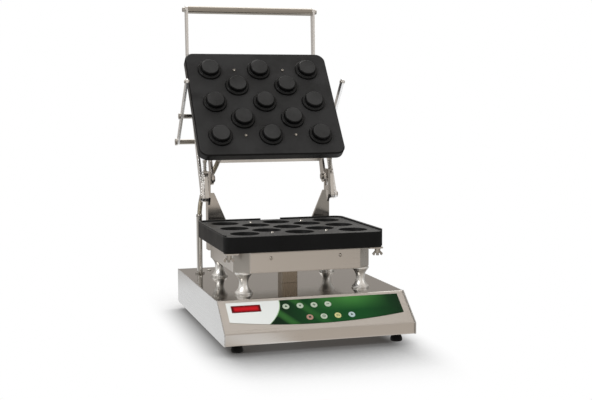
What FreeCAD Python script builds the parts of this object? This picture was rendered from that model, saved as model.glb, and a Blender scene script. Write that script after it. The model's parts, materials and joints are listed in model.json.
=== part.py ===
import FreeCAD
import Part
import math
import os

Vector = FreeCAD.Vector

# Tartlet-shell press: heated lower mould with cups, hinged upper plate with punches, press lever.
# Millimetres. X across, Y towards the back, Z up from the surface that the feet stand on.

# Length that every cutter runs past the face it opens
over = 1.0

# Base box
base_width = 400.0
base_depth = 500.0
deck_height = 95.0
foot_height = 17.0
lip_height = 24.0
slope_run = 69.0
base_sheet = 1.5
side_sheet = 2.0
side_proud = 3.0
bend_radius = 3.0
flange_width = 14.0
vent_count = 7
vent_pitch = 16.0
vent_width = 5.0
vent_length = 70.0
vent_height = 36.0
vent_corner = 2.4

# Rubber feet
foot_diameter = 25.0
foot_top_diameter = 20.0
foot_inset_x = 32.0
foot_inset_y = 26.0
foot_stud_diameter = 8.0
foot_stud_rise = 14.0
foot_tread = 6.0
foot_edge = 1.5
foot_nut_width = 13.0
foot_nut_height = 6.5

# Control panel on the slope
overlay_half_width = 183.0
overlay_thickness = 0.8
overlay_top = 8.0
overlay_end_depth = 58.0
overlay_mid_depth = 73.0
window_centre_x = -144.0
window_centre_down = 25.5
window_length = 60.0
window_height = 18.0
window_rise = 0.4
key_diameter = 14.0
key_pitch = 29.6
key_row_down = (25.4, 56.8)
key_row_start = (-61.5, -18.4)
keys_per_row = 4
key_rise = 0.7
key_travel = 0.6
key_clearance = 0.3
key_stem = 1.0
key_edge = 0.5
board_length = 190.0
board_height = 62.0
board_thickness = 1.6
board_depth = 7.0
switch_diameter = 6.0
board_corner = 2.0
display_inset = 2.0
lens_corner = 1.0

# Power parts inside the base
relay_size = (90.0, 60.0, 38.0)
relay_centre = (-70.0, 120.0)
relay_fins = 5
gland_x = 120.0
gland_height = 52.0
gland_thread_diameter = 20.0
gland_flange_diameter = 28.0
gland_cap_diameter = 24.0
gland_reach = 24.0
gland_bore = 10.0
gland_flange_thickness = 5.0
gland_cap_wall = 3.0

# Turned legs
leg_height = 45.0
leg_inset_x = 22.0
leg_inset_y = 24.0
leg_foot_diameter = 37.0
leg_waist_diameter = 19.0
leg_head_diameter = 36.0
leg_rim = 3.5
leg_waist_height = 23.0

# Heated casings, lower and upper
casing_inset_x = 23.0
casing_inset_y = 7.0
casing_chamfer = 30.0
casing_corner = 6.0
casing_sheet = 1.5
lower_casing_height = 43.0
upper_casing_height = 22.0
front_panel_inset = 1.0
front_panel_thickness = 1.2
front_panel_margin = 1.5
panel_screw_x = 75.0
panel_screw_drop = 13.0
panel_screw_diameter = 3.8
panel_screw_head = 7.2
panel_screw_rise = 2.0
panel_slot_length = 8.0
heater_diameter = 8.0
heater_pitch = 60.0
heater_runs = 4
heater_half_length = 85.0
terminal_drop = 18.0
terminal_diameter = 11.0
duct_width = 36.0
duct_wall = 1.5
duct_corner = 3.0

# Lower mould plate
plate_width = 346.0
plate_depth = 294.0
plate_corner = 22.0
mould_thickness = 37.5
rim_height = 3.5
rim_width = 5.0
mould_edge = 2.0
notch_width = 48.0
cup_mouth = 63.0
cup_floor = 50.0
cup_depth = 16.0
cup_pitch_x = 119.0
cup_pitch_y = 94.5
plate_screw_diameter = 7.6
plate_screw_head = 2.2
plate_screw_top = 5.8
plate_screw_recess = 3.2
plate_screw_floor = 0.9

# Upper punch plate
punch_plate_thickness = 20.0
punch_edge = 3.0
skirt_diameter = 57.0
skirt_height = 6.0
punch_diameter = 45.0
punch_tip_diameter = 42.0
punch_height = 16.0
skirt_draft = 1.0
skirt_edge = 1.5
punch_tip_edge = 2.0
plate_gap = 0.5

# Head hinge: pins that float in the slots of the posts
post_clearance = 3.0
hinge_setback = 8.0
hinge_z = 314.0
open_angle = 127.0
lift_travel = 13.0
hinge_pin_diameter = 10.0
running_clearance = 0.05
slide_clearance = 0.4
face_clearance = 0.3
cheek_offset = 9.0
cheek_thickness = 5.0
cheek_half_depth = 17.0
slot_width = 18.0
slot_margin = 9.0
gusset_thickness = 6.0
gusset_reach = 53.0
gusset_bottom = 150.0
gusset_top = 282.0
gusset_waist = 219.0
gusset_waist_reach = 37.0
gusset_top_reach = 10.0
post_foot_drop = 1.0
post_foot_width = 30.0
slot_corner = 0.8
boss_radius = 13.0
block_thickness = 8.5
lug_radius = 10.0
tab_thickness = 4.0
guide_bolt_diameter = 6.0
guide_bolt_head = 10.0
guide_bolt_head_height = 5.0
guide_bolt_sink = 5.0
spring_length = 21.0
spring_wire = 1.2
spring_turns = 5
spring_mean_radius = 4.1
hinge_arm_inset = 18.0
hinge_arm_thickness = 5.0
hinge_arm_radius = 14.0
hinge_arm_front = 40.0
hinge_foot_width = 20.0
pin_head_radius = 8.0
pin_head_height = 3.5

# Press lever with its handle, and the links between lever and head
lever_drop = 42.0
lever_setback = 10.6
lever_angle = 27.0
lever_reach = 368.0
handle_angle = 2.0
handle_reach = 110.0
arm_offset = 15.0
arm_thickness = 5.0
arm_radius = 8.0
arm_eye_radius = 10.0
lever_pin_diameter = 9.0
lever_shoulder_diameter = 13.5
lever_head_diameter = 14.4
handle_diameter = 18.0
handle_wall = 1.5
handle_bolt_diameter = 6.0
handle_bolt_head = 13.0
handle_bolt_head_height = 7.0
handle_bolt_tip = 10.4
link_pin_reach = 207.0
link_clearance = 11.5
link_thickness = 5.0
link_radius = 7.0
link_tail = 104.0
link_bolt_diameter = 8.0
link_bolt_head = 14.0
link_bolt_head_height = 4.5
link_nut_height = 4.0
spacer_diameter = 11.0
press_rod_diameter = 12.0
press_rod_y = 12.0
press_rod_rise = 140.0
bracket_offset = 32.0
bracket_thickness = 5.0
bracket_half_foot = 50.0
bracket_eye_radius = 12.0
bracket_foot_width = 20.0
bracket_window_radius = 17.0
bracket_window_rise = 28.0
end_bolt_head = 16.0
tail_pin_diameter = 7.0
tail_pin_proud = 3.0

# Clamp studs with wing nuts under the mould plate
clamp_inset_x = 11.0
clamp_inset_y = 17.0
clamp_stud_diameter = 6.0
clamp_stud_length = 19.0
ear_size = (31.0, 20.0, 3.0)
ear_drop = 0.6
wing_hub_diameter = 13.0
wing_hub_height = 10.0
wing_span = 12.0
wing_drop = 13.0
wing_thickness = 3.0
wing_tip = 4.0
wing_root = 4.0
wing_hub_tip = 10.4
wing_edge = 1.5
ear_corner = 4.0

# Conduit that takes the heater leads from the deck to the head
conduit_offset = 17.0
conduit_y = 168.0
conduit_diameter = 13.0
conduit_wall = 0.7
conduit_top = 232.0
conduit_nut_width = 19.0
conduit_nut_height = 3.5
hose_diameter = 11.0
hose_insert = 22.0
hose_entry_offset = 24.0
hose_entry_y = 100.0
hose_bow = 64.0
hose_rise = 16.0
hose_swing_rise = 58.0
hose_swing_out = 8.0
hose_swing_back = 12.0
hose_bend_share = 0.45

# Levels and places that follow from the sizes above
half_width = base_width / 2
half_depth = base_depth / 2
slope_rise = deck_height - foot_height - lip_height
slope_angle = math.degrees(math.atan2(slope_rise, slope_run))
slope_top_y = slope_run - half_depth
gusset_front = plate_depth / 2 + post_clearance
hinge_y = gusset_front + hinge_setback
casing_floor = deck_height + leg_height
mould_bottom = casing_floor + lower_casing_height
post_foot_top = mould_bottom - post_foot_drop
mould_top = mould_bottom + mould_thickness
parting_z = mould_top - rim_height
punch_face = mould_top + plate_gap + lift_travel
upper_casing_bottom = punch_face + punch_plate_thickness
upper_casing_top = upper_casing_bottom + upper_casing_height
casing_half_width = plate_width / 2 - casing_inset_x
casing_half_depth = plate_depth / 2 - casing_inset_y
front_panel_half_width = casing_half_width - casing_chamfer - front_panel_inset
leg_spacing_x = 2 * (casing_half_width - leg_inset_x)
leg_spacing_y = 2 * (casing_half_depth - leg_inset_y)
clamp_x = plate_width / 2 - clamp_inset_x
clamp_y = clamp_inset_y - plate_depth / 2
hinge_arm_inner = casing_half_width - hinge_arm_inset
bracket_x = hinge_arm_inner - bracket_offset
cheek_inner = hinge_arm_inner + cheek_offset
cheek_outer = cheek_inner + cheek_thickness
gusset_inner = cheek_inner - gusset_reach
gusset_waist_inner = cheek_inner - gusset_waist_reach
gusset_top_inner = cheek_inner - gusset_top_reach
arm_inner = cheek_inner + arm_offset
link_inner = plate_width / 2 + link_clearance
conduit_x = -cheek_outer - conduit_offset
hose_entry_x = hose_entry_offset - hinge_arm_inner
block_inner = cheek_outer + slide_clearance
block_outer = block_inner + block_thickness
boss_top = hinge_z + boss_radius
tab_bottom = boss_top + face_clearance
tab_top = tab_bottom + tab_thickness
guide_x = block_inner + block_thickness / 2
arm_outer = arm_inner + arm_thickness
link_outer = link_inner + link_thickness
hinge_arm_outer = hinge_arm_inner + hinge_arm_thickness
lever_pivot = (hinge_y - lever_setback, hinge_z - lever_drop)


def step_along(start, lean, reach):
    """Point reached from start in the YZ plane along a line that leans back from the vertical."""
    turn = math.radians(lean)
    return (start[0] + reach * math.sin(turn), start[1] + reach * math.cos(turn))


def turned_about_hinge(point, angle):
    """YZ point turned about the hinge axis, positive from up to front."""
    turn = math.radians(angle)
    y = point[0] - hinge_y
    z = point[1] - hinge_z
    return (
        hinge_y + y * math.cos(turn) - z * math.sin(turn),
        hinge_z + y * math.sin(turn) + z * math.cos(turn),
    )


lever_bend = step_along(lever_pivot, lever_angle, lever_reach)
handle_centre = step_along(lever_bend, handle_angle, handle_reach)
link_pin = step_along(lever_pivot, lever_angle, link_pin_reach)
press_rod_closed = (press_rod_y, punch_face + press_rod_rise)
press_rod_open = turned_about_hinge(press_rod_closed, -open_angle)
link_length = math.hypot(link_pin[0] - press_rod_open[0], link_pin[1] - press_rod_open[1])
link_tail_end = (
    link_pin[0] + (link_pin[0] - press_rod_open[0]) * link_tail / link_length,
    link_pin[1] + (link_pin[1] - press_rod_open[1]) * link_tail / link_length,
)


def rounded_loop(points, radius):
    """Closed wire through the points with every corner rounded to the radius (one number or a list)."""
    count = len(points)
    radii = radius if isinstance(radius, (list, tuple)) else [radius] * count
    entries = []
    for index, corner in enumerate(points):
        before = (points[index - 1] - corner).normalize()
        after = (points[(index + 1) % count] - corner).normalize()
        if radii[index] == 0:
            entries.append((corner, None, corner))
            continue
        half = before.getAngle(after) / 2
        reach = radii[index] / math.tan(half)
        middle = (before + after).normalize() * (radii[index] / math.sin(half) - radii[index])
        entries.append((corner + before * reach, corner + middle, corner + after * reach))
    edges = []
    for index, (start, middle, end) in enumerate(entries):
        if middle is not None:
            edges.append(Part.Arc(start, middle, end).toShape())
        following = entries[(index + 1) % count][0]
        if end.distanceToPoint(following) > 1e-6:
            edges.append(Part.LineSegment(end, following).toShape())
    return Part.Wire(edges)


def plate_xy(points, radius, bottom, top):
    """Flat plate from an XY outline."""
    loop = rounded_loop([Vector(x, y, bottom) for x, y in points], radius)
    return Part.Face(loop).extrude(Vector(0, 0, top - bottom))


def plate_yz(points, radius, inner, outer):
    """Flat plate from a YZ outline, standing between two X planes."""
    loop = rounded_loop([Vector(inner, y, z) for y, z in points], radius)
    return Part.Face(loop).extrude(Vector(outer - inner, 0, 0))


def plate_xz(points, radius, front, back):
    """Flat plate from an XZ outline, facing the front."""
    loop = rounded_loop([Vector(x, front, z) for x, z in points], radius)
    return Part.Face(loop).extrude(Vector(0, back - front, 0))


def rectangle(x0, x1, y0, y1):
    return [(x0, y0), (x1, y0), (x1, y1), (x0, y1)]


def box(x0, x1, y0, y1, z0, z1):
    return Part.makeBox(x1 - x0, y1 - y0, z1 - z0, Vector(x0, y0, z0))


def rod_x(centre, radius, inner, outer):
    """Round bar along X, centred on a YZ point."""
    return Part.makeCylinder(radius, outer - inner, Vector(inner, *centre), Vector(1, 0, 0))


def rod_z(x, y, radius, bottom, top):
    return Part.makeCylinder(radius, top - bottom, Vector(x, y, bottom))


def bar_yz(start, end, start_radius, end_radius, inner, outer):
    """Flat bar with round ends: the tangent outline of two circles in the YZ plane."""
    along = Vector(0, end[0] - start[0], end[1] - start[1])
    reach = along.Length
    along.normalize()
    across = Vector(0, -along.z, along.y)
    lean = (start_radius - end_radius) / reach
    spread = math.sqrt(1 - lean * lean)
    upper = along * lean + across * spread
    lower = along * lean - across * spread
    first = Vector(inner, *start)
    last = Vector(inner, *end)
    edges = [
        Part.LineSegment(first + upper * start_radius, last + upper * end_radius).toShape(),
        Part.Arc(last + upper * end_radius, last + along * end_radius, last + lower * end_radius).toShape(),
        Part.LineSegment(last + lower * end_radius, first + lower * start_radius).toShape(),
        Part.Arc(first + lower * start_radius, first - along * start_radius,
                 first + upper * start_radius).toShape(),
    ]
    return Part.Face(Part.Wire(edges)).extrude(Vector(outer - inner, 0, 0))


def hexagon_z(x, y, across_flats, bottom, top):
    """Hexagon prism with a vertical axis."""
    corner = across_flats / math.sqrt(3)
    angles = [math.radians(60 * step) for step in range(6)]
    points = [(x + corner * math.cos(a), y + corner * math.sin(a)) for a in angles]
    return plate_xy(points, 0, bottom, top)


def turned(profile, x, y, z):
    """Solid of revolution from a wire of (radius, height) edges."""
    solid = Part.Face(profile).revolve(Vector(0, 0, 0), Vector(0, 0, 1), 360)
    solid.translate(Vector(x, y, z))
    return solid


def mirrored(shape):
    return shape.mirror(Vector(0, 0, 0), Vector(1, 0, 0))


def pair(shape):
    """A piece and its mirror image as one group of solids."""
    return Part.makeCompound([mirrored(shape), shape])


def on_slope(shape):
    """Carries a flat piece from its own XY plane, y up the slope, onto the control front."""
    placed = shape.copy()
    placed.rotate(Vector(0, 0, 0), Vector(1, 0, 0), slope_angle)
    placed.translate(Vector(0, slope_top_y, deck_height))
    return placed


def opened(shape):
    """Swings a head piece from the closed place, where it is drawn, to the open one."""
    placed = shape.copy()
    placed.rotate(Vector(0, hinge_y, hinge_z), Vector(1, 0, 0), -open_angle)
    return placed


def key_places():
    for row, start in enumerate(key_row_start):
        for column in range(keys_per_row):
            yield start + column * key_pitch, -key_row_down[row]


def cup_places():
    """Three rows of three cups with a cup in the middle of each square."""
    for column in (-1, 0, 1):
        for row in (-1, 0, 1):
            yield column * cup_pitch_x, row * cup_pitch_y
    for column in (-0.5, 0.5):
        for row in (-0.5, 0.5):
            yield column * cup_pitch_x, row * cup_pitch_y


def screw_places():
    for column in (-0.5, 0.5):
        for row in (-1, 1):
            yield column * cup_pitch_x, row * cup_pitch_y


def foot_places():
    for side in (-1, 1):
        for end in (-1, 1):
            yield side * (half_width - foot_inset_x), end * (half_depth - foot_inset_y)


def leg_places():
    for end in (-1, 1):
        for side in (-1, 1):
            yield side * leg_spacing_x / 2, end * leg_spacing_y / 2


def window_outline(extra):
    half_length = window_length / 2 + extra
    half_height = window_height / 2 + extra
    return rectangle(
        window_centre_x - half_length, window_centre_x + half_length,
        -window_centre_down - half_height, -window_centre_down + half_height,
    )


def overlay_face(extra=0.0):
    """Overlay outline: straight top and ends, lower edge an arc that hangs lowest in the middle."""
    left = -overlay_half_width - extra
    right = overlay_half_width + extra
    top = -overlay_top + extra
    low = -overlay_end_depth - extra
    corners = [Vector(left, low, 0), Vector(left, top, 0), Vector(right, top, 0), Vector(right, low, 0)]
    edges = [Part.LineSegment(corners[i], corners[i + 1]).toShape() for i in range(3)]
    edges.append(Part.Arc(corners[3], Vector(0, -overlay_mid_depth - extra, 0), corners[0]).toShape())
    return Part.Face(Part.Wire(edges))


def panel_openings(depth, height):
    """Cutters for the display window and the keys, through the slope."""
    cutters = [plate_xy(window_outline(0.0), 0, depth, height)]
    for x, y in key_places():
        cutters.append(rod_z(x, y, key_diameter / 2 + key_clearance, depth, height))
    return cutters


def base_shell():
    """Deck, slope and lip folded from one sheet, with turned-in flanges at the front and rear."""
    outer = [
        (flange_width - half_depth, foot_height),
        (-half_depth, foot_height),
        (-half_depth, foot_height + lip_height),
        (slope_top_y, deck_height),
        (half_depth, deck_height),
        (half_depth, deck_height - flange_width),
    ]
    miter_lip = base_sheet * math.tan(math.radians((90 - slope_angle) / 2))
    miter_top = base_sheet * math.tan(math.radians(slope_angle / 2))
    inner = [
        (half_depth - base_sheet, deck_height - flange_width),
        (half_depth - base_sheet, deck_height - base_sheet),
        (slope_top_y + miter_top, deck_height - base_sheet),
        (base_sheet - half_depth, foot_height + lip_height - miter_lip),
        (base_sheet - half_depth, foot_height + base_sheet),
        (flange_width - half_depth, foot_height + base_sheet),
    ]
    tight = bend_radius - base_sheet
    radii = [0, bend_radius, bend_radius, bend_radius, bend_radius, 0, 0, tight, tight, tight, tight, 0]
    side = half_width - side_sheet
    shell = plate_yz(outer + inner, radii, -side, side)
    through = -4 * base_sheet
    cutters = [on_slope(cutter) for cutter in panel_openings(through, base_sheet)]
    duct_bore = duct_width / 2 - duct_wall
    low = deck_height + through
    high = deck_height + over
    cutters.append(box(-duct_bore, duct_bore, -duct_bore, duct_bore, low, high))
    cutters.append(rod_z(conduit_x, conduit_y, conduit_diameter / 2, low, high))
    return shell.cut(cutters)


def side_panel():
    """Right end sheet, following the fold and standing a little proud of the control front."""
    proud = side_proud / math.cos(math.radians(slope_angle))
    outline = [
        (half_depth, foot_height),
        (-half_depth - side_proud, foot_height),
        (-half_depth - side_proud, foot_height + lip_height),
        (slope_top_y - side_proud, deck_height - side_proud * math.tan(math.radians(slope_angle)) + proud),
        (slope_top_y, deck_height),
        (half_depth, deck_height),
    ]
    radii = [0, bend_radius, bend_radius * 2, 0, 0, 0]
    return plate_yz(outline, radii, half_width - side_sheet, half_width)


def rear_panel():
    """Rear sheet inside the deck's flange, with a row of air slots and the gland hole."""
    back = half_depth - base_sheet
    side = half_width - side_sheet
    panel = box(-side, side, back - base_sheet, back, foot_height + base_sheet, deck_height - bend_radius)
    middle = (foot_height + deck_height - flange_width) / 2
    cutters = []
    for index in range(vent_count):
        x = (index - (vent_count - 1) / 2) * vent_pitch
        slot = rectangle(x - vent_width / 2, x + vent_width / 2,
                         middle - vent_height / 2, middle + vent_height / 2)
        cutters.append(plate_xz(slot, vent_corner, back - 2 * base_sheet, back + over))
    cutters.append(Part.makeCylinder(gland_thread_diameter / 2, 4 * base_sheet,
                                     Vector(gland_x, back - 2 * base_sheet, gland_height), Vector(0, 1, 0)))
    return panel.cut(cutters)


def bottom_plate():
    """Floor of the base with air slots and the holes of the foot studs."""
    side = half_width - side_sheet
    front = flange_width - half_depth
    back = half_depth - base_sheet
    plate = box(-side, side, front, back, foot_height, foot_height + base_sheet)
    cutters = [rod_z(x, y, foot_stud_diameter / 2, foot_height - over, foot_height + base_sheet + over)
               for x, y in foot_places()]
    for index in range(vent_count):
        y = (index - (vent_count - 1) / 2) * vent_pitch
        slot = rectangle(-vent_length / 2, vent_length / 2, y - vent_width / 2, y + vent_width / 2)
        cutters.append(plate_xy(slot, vent_corner, foot_height - over, foot_height + base_sheet + over))
    return plate.cut(cutters)


def rubber_feet():
    """Four moulded feet: a spread tread, a tapered neck and a hole for the stud."""
    tread = foot_diameter / 2
    neck = foot_top_diameter / 2
    bore = foot_stud_diameter / 2
    outline = [
        (bore, foot_height / 2), (0, foot_height / 2), (0, 0), (tread - foot_edge, 0), (tread, foot_edge),
        (tread, foot_tread), (neck, foot_height - foot_edge), (neck - foot_edge, foot_height),
        (bore, foot_height),
    ]
    points = [Vector(r, 0, z) for r, z in outline]
    feet = [turned(Part.makePolygon(points + points[:1]), x, y, 0) for x, y in foot_places()]
    return Part.makeCompound(feet)


def foot_studs():
    """Threaded studs of the feet with their nuts on the floor of the base."""
    studs = []
    floor_top = foot_height + base_sheet
    for x, y in foot_places():
        stud = rod_z(x, y, foot_stud_diameter / 2, foot_height / 2, floor_top + foot_stud_rise)
        nut = hexagon_z(x, y, foot_nut_width, floor_top, floor_top + foot_nut_height)
        studs.append(stud.fuse(nut).removeSplitter())
    return Part.makeCompound(studs)


def control_overlay():
    """Thin printed sheet on the slope, open for the window and the keys."""
    sheet = overlay_face().extrude(Vector(0, 0, overlay_thickness))
    return on_slope(sheet.cut(panel_openings(-over, overlay_thickness + over)))


def display_window():
    """Lens of the display, seated in the slope and just proud of the overlay."""
    top = overlay_thickness + window_rise
    lens = plate_xy(window_outline(0.0), lens_corner, -base_sheet, top)
    return on_slope(lens)


def key(place):
    """Round key: a domed cap on a stem that ends just above its switch."""
    cap = key_diameter / 2
    top = overlay_thickness + key_rise
    low = -base_sheet - key_stem
    outline = [(0, low), (cap, low), (cap, top - key_edge), (cap - 2 * key_edge, top), (0, top)]
    points = [Vector(r, 0, z) for r, z in outline]
    return on_slope(turned(Part.makePolygon(points + points[:1]), place[0], place[1], 0))


def control_board():
    """Circuit board behind the slope with a switch under each key and a display block."""
    under = -base_sheet
    top = under - board_depth
    centre_x = window_centre_x / 2
    centre_y = -sum(key_row_down) / 2
    board = plate_xy(
        rectangle(window_centre_x - window_length / 2, window_centre_x + board_length + window_length / 2,
                  centre_y - board_height / 2, centre_y + board_height / 2),
        board_corner, top - board_thickness, top)
    switch_top = under - key_stem - key_travel - key_clearance
    pieces = [rod_z(x, y, switch_diameter / 2, top, switch_top) for x, y in key_places()]
    pieces.append(plate_xy(window_outline(-display_inset), 0, top, under))
    stand_x = key_row_start[1] + keys_per_row * key_pitch
    for x, y in ((centre_x, centre_y), (stand_x, centre_y)):
        pieces.append(rod_z(x, y, switch_diameter / 2, top, under))
    return on_slope(board.fuse(pieces).removeSplitter())


def relay_block():
    """Power relay and terminals on a foot plate, with cooling fins on top."""
    length, depth, height = relay_size
    x0 = relay_centre[0] - length / 2
    y0 = relay_centre[1] - depth / 2
    bottom = foot_height + base_sheet
    body = box(x0, x0 + length, y0, y0 + depth, bottom, bottom + height)
    fins = []
    gap = length / (2 * relay_fins + 1)
    for index in range(relay_fins):
        left = x0 + gap * (2 * index + 1)
        fins.append(box(left, left + gap, y0 - over, y0 + depth + over,
                        bottom + height / 2, bottom + height + over))
    return body.cut(fins)


def cable_gland():
    """Inlet gland in the rear panel: thread, hexagon flange and rounded cap with an open throat."""
    back = half_depth - base_sheet
    axis = Vector(0, 1, 0)
    start = Vector(gland_x, back - base_sheet, gland_height)
    flange_end = back + gland_flange_thickness
    nut_end = back - base_sheet - gland_flange_thickness
    thread = Part.makeCylinder(gland_thread_diameter / 2, base_sheet, start, axis)
    flange = Part.makeCylinder(gland_flange_diameter / 2, gland_flange_thickness,
                               Vector(gland_x, back, gland_height), axis)
    cap = Part.makeCone(gland_cap_diameter / 2, gland_bore / 2 + gland_cap_wall,
                        gland_reach - gland_flange_thickness, Vector(gland_x, flange_end, gland_height), axis)
    nut = Part.makeCylinder(gland_flange_diameter / 2, gland_flange_thickness,
                            Vector(gland_x, nut_end, gland_height), axis)
    throat = Part.makeCylinder(gland_bore / 2, back + gland_reach - nut_end + 2 * over,
                               Vector(gland_x, nut_end - over, gland_height), axis)
    return thread.fuse([flange, cap, nut]).cut(throat).removeSplitter()


def turned_leg(x, y):
    """Hourglass leg: rims at the foot and head, and a waist drawn with one hollow arc."""
    foot = leg_foot_diameter / 2
    waist = leg_waist_diameter / 2
    head = leg_head_diameter / 2
    low = Vector(foot, 0, leg_rim)
    high = Vector(head, 0, leg_height - leg_rim)
    curve = Part.Arc(low, Vector(waist, 0, leg_waist_height), high)
    corners = [high, Vector(head, 0, leg_height), Vector(0, 0, leg_height), Vector(0, 0, 0),
               Vector(foot, 0, 0), low]
    edges = [curve.toShape()]
    edges += [Part.LineSegment(corners[i], corners[i + 1]).toShape() for i in range(5)]
    return turned(Part.Wire(edges), x, y, deck_height)


def casing_outline(inset):
    """Rectangle with cut corners, the plan of both casings."""
    x = casing_half_width - inset
    y = casing_half_depth - inset
    cut = casing_chamfer - inset * (2 - math.sqrt(2))
    return [(x - cut, -y), (x, cut - y), (x, y - cut), (x - cut, y),
            (cut - x, y), (-x, y - cut), (-x, cut - y), (cut - x, -y)]


def casing_ear(side):
    """Ear that carries a clamp stud beside the cut corner of the casing."""
    length, depth, thickness = ear_size
    top = mould_bottom - ear_drop
    x0 = clamp_x - length + depth / 2
    points = rectangle(x0, clamp_x + depth / 2, clamp_y - depth / 2, clamp_y + depth / 2)
    ear = plate_xy(points, ear_corner, top - thickness, top)
    return ear if side > 0 else mirrored(ear)


def lower_casing():
    """Tray of the lower heater, open at the top, with the ears of the two clamps."""
    outer = plate_xy(casing_outline(0), casing_corner, casing_floor, mould_bottom)
    inner = plate_xy(casing_outline(casing_sheet), casing_corner - casing_sheet,
                     casing_floor + casing_sheet, mould_bottom + over)
    bore = duct_width / 2 - duct_wall
    lead_hole = box(-bore, bore, -bore, bore, casing_floor - over, casing_floor + casing_sheet + over)
    tray = outer.fuse([casing_ear(-1), casing_ear(1)]).cut([inner, lead_hole])
    holes = [rod_z(side * clamp_x, clamp_y, clamp_stud_diameter / 2 + slide_clearance,
                   casing_floor, mould_bottom) for side in (-1, 1)]
    return tray.cut(holes).removeSplitter()


def front_panel():
    """Cover sheet on the front of the lower casing, hung on two screws in keyhole slots."""
    front = -casing_half_depth
    outline = rectangle(-front_panel_half_width, front_panel_half_width,
                        casing_floor + front_panel_margin, mould_bottom - front_panel_margin)
    panel = plate_xz(outline, front_panel_margin, front - front_panel_thickness, front)
    slots = []
    half = panel_screw_diameter / 2
    level = mould_bottom - panel_screw_drop
    for x in (-panel_screw_x, panel_screw_x):
        slot = rectangle(x - half - face_clearance, x + half + face_clearance,
                         level - panel_slot_length / 2, level + panel_slot_length / 2)
        slots.append(plate_xz(slot, half, front - front_panel_thickness - over, front + over))
    return panel.cut(slots)


def panel_screws():
    """Two round-headed screws of the front panel."""
    face = -casing_half_depth - front_panel_thickness
    screws = []
    radius = panel_screw_head / 2
    for x in (-panel_screw_x, panel_screw_x):
        centre = Vector(x, face, mould_bottom - panel_screw_drop)
        head = Part.makeCone(radius, radius - panel_screw_rise / 2, panel_screw_rise, centre,
                             Vector(0, -1, 0))
        shank = Part.makeCylinder(panel_screw_diameter / 2, front_panel_thickness, centre, Vector(0, 1, 0))
        screws.append(head.fuse(shank).removeSplitter())
    return Part.makeCompound(screws)


def heater(level, terminal_end):
    """Tubular element bent to and fro under the plate, with two turned-off terminals."""
    radius = heater_diameter / 2
    ys = [(run - (heater_runs - 1) / 2) * heater_pitch for run in range(heater_runs)]
    edges = []
    for run, y in enumerate(ys):
        direction = 1 if run % 2 == 0 else -1
        start = Vector(-direction * heater_half_length, y, level)
        end = Vector(direction * heater_half_length, y, level)
        edges.append(Part.LineSegment(start, end).toShape())
        if run + 1 < heater_runs:
            swing = Vector(end.x + direction * heater_pitch / 2, y + heater_pitch / 2, level)
            edges.append(Part.Arc(end, swing, Vector(end.x, y + heater_pitch, level)).toShape())
    path = Part.Wire(edges)
    start = Vector(-heater_half_length, ys[0], level)
    section = Part.Wire(Part.makeCircle(radius, start, Vector(1, 0, 0)))
    element = path.makePipeShell([section], True, True)
    terminals = []
    for y in (ys[0], ys[-1]):
        block_low = min(level - radius, terminal_end)
        block_high = max(level + radius, terminal_end)
        terminals.append(rod_z(-heater_half_length, y, terminal_diameter / 2, block_low, block_high))
    return element.fuse(terminals).removeSplitter()


def wiring_duct():
    """Square tube that takes the heater leads from the deck to the lower casing."""
    outer = duct_width / 2
    bore = outer - duct_wall
    tube = plate_xy(rectangle(-outer, outer, -outer, outer), duct_corner, deck_height, casing_floor)
    return tube.cut(plate_xy(rectangle(-bore, bore, -bore, bore), duct_corner - duct_wall,
                             deck_height - over, casing_floor + over))


def plate_outline(inset):
    x = plate_width / 2 - inset
    y = plate_depth / 2 - inset
    return rectangle(-x, x, -y, y)


def mould_plate():
    """Cast lower plate: low rim round three sides, notched at the rear, and a tapered cup at each place."""
    slab = plate_xy(plate_outline(0), plate_corner, mould_bottom + mould_edge, mould_top)
    foot = plate_xy(plate_outline(mould_edge), plate_corner - mould_edge,
                    mould_bottom, mould_bottom + mould_edge)
    back = plate_depth / 2
    side = plate_width / 2 - rim_width
    inner_corner = plate_corner - rim_width
    recess = plate_xy(rectangle(-side, side, -back - over, back - rim_width),
                      [0, 0, inner_corner, inner_corner], parting_z, mould_top + over)
    notch = box(-notch_width / 2, notch_width / 2, back - 2 * rim_width, back + over,
                parting_z, mould_top + over)
    cups = [Part.makeCone(cup_floor / 2, cup_mouth / 2, cup_depth, Vector(x, y, parting_z - cup_depth))
            for x, y in cup_places()]
    return slab.fuse(foot).removeSplitter().cut([recess, notch] + cups)


def plate_screw(x, y, seat, upward):
    """Low round screw head with a driver recess, standing on a plate's face."""
    turn = 1 if upward else -1
    axis = Vector(0, 0, turn)
    radius = plate_screw_diameter / 2
    head = Part.makeCone(radius, plate_screw_top / 2, plate_screw_head, Vector(x, y, seat), axis)
    recess = Part.makeCylinder(plate_screw_recess / 2, plate_screw_head,
                               Vector(x, y, seat + turn * plate_screw_floor), axis)
    return head.cut(recess)


def mould_screws():
    return Part.makeCompound([plate_screw(x, y, parting_z, True) for x, y in screw_places()])


def punch(x, y):
    """Stepped punch: skirt that forms the shell's edge, then a tapered plug with a rounded tip edge."""
    tip = punch_face - punch_height
    skirt_low = punch_face - skirt_height
    profile = [
        Vector(0, 0, punch_face), Vector(skirt_diameter / 2, 0, punch_face),
        Vector(skirt_diameter / 2 - skirt_draft, 0, skirt_low + skirt_edge),
        Vector(skirt_diameter / 2 - skirt_draft - skirt_edge, 0, skirt_low),
        Vector(punch_diameter / 2, 0, skirt_low),
        Vector(punch_tip_diameter / 2, 0, tip + punch_tip_edge),
        Vector(punch_tip_diameter / 2 - punch_tip_edge, 0, tip), Vector(0, 0, tip),
    ]
    return turned(Part.makePolygon(profile + profile[:1]), x, y, 0)


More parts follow.
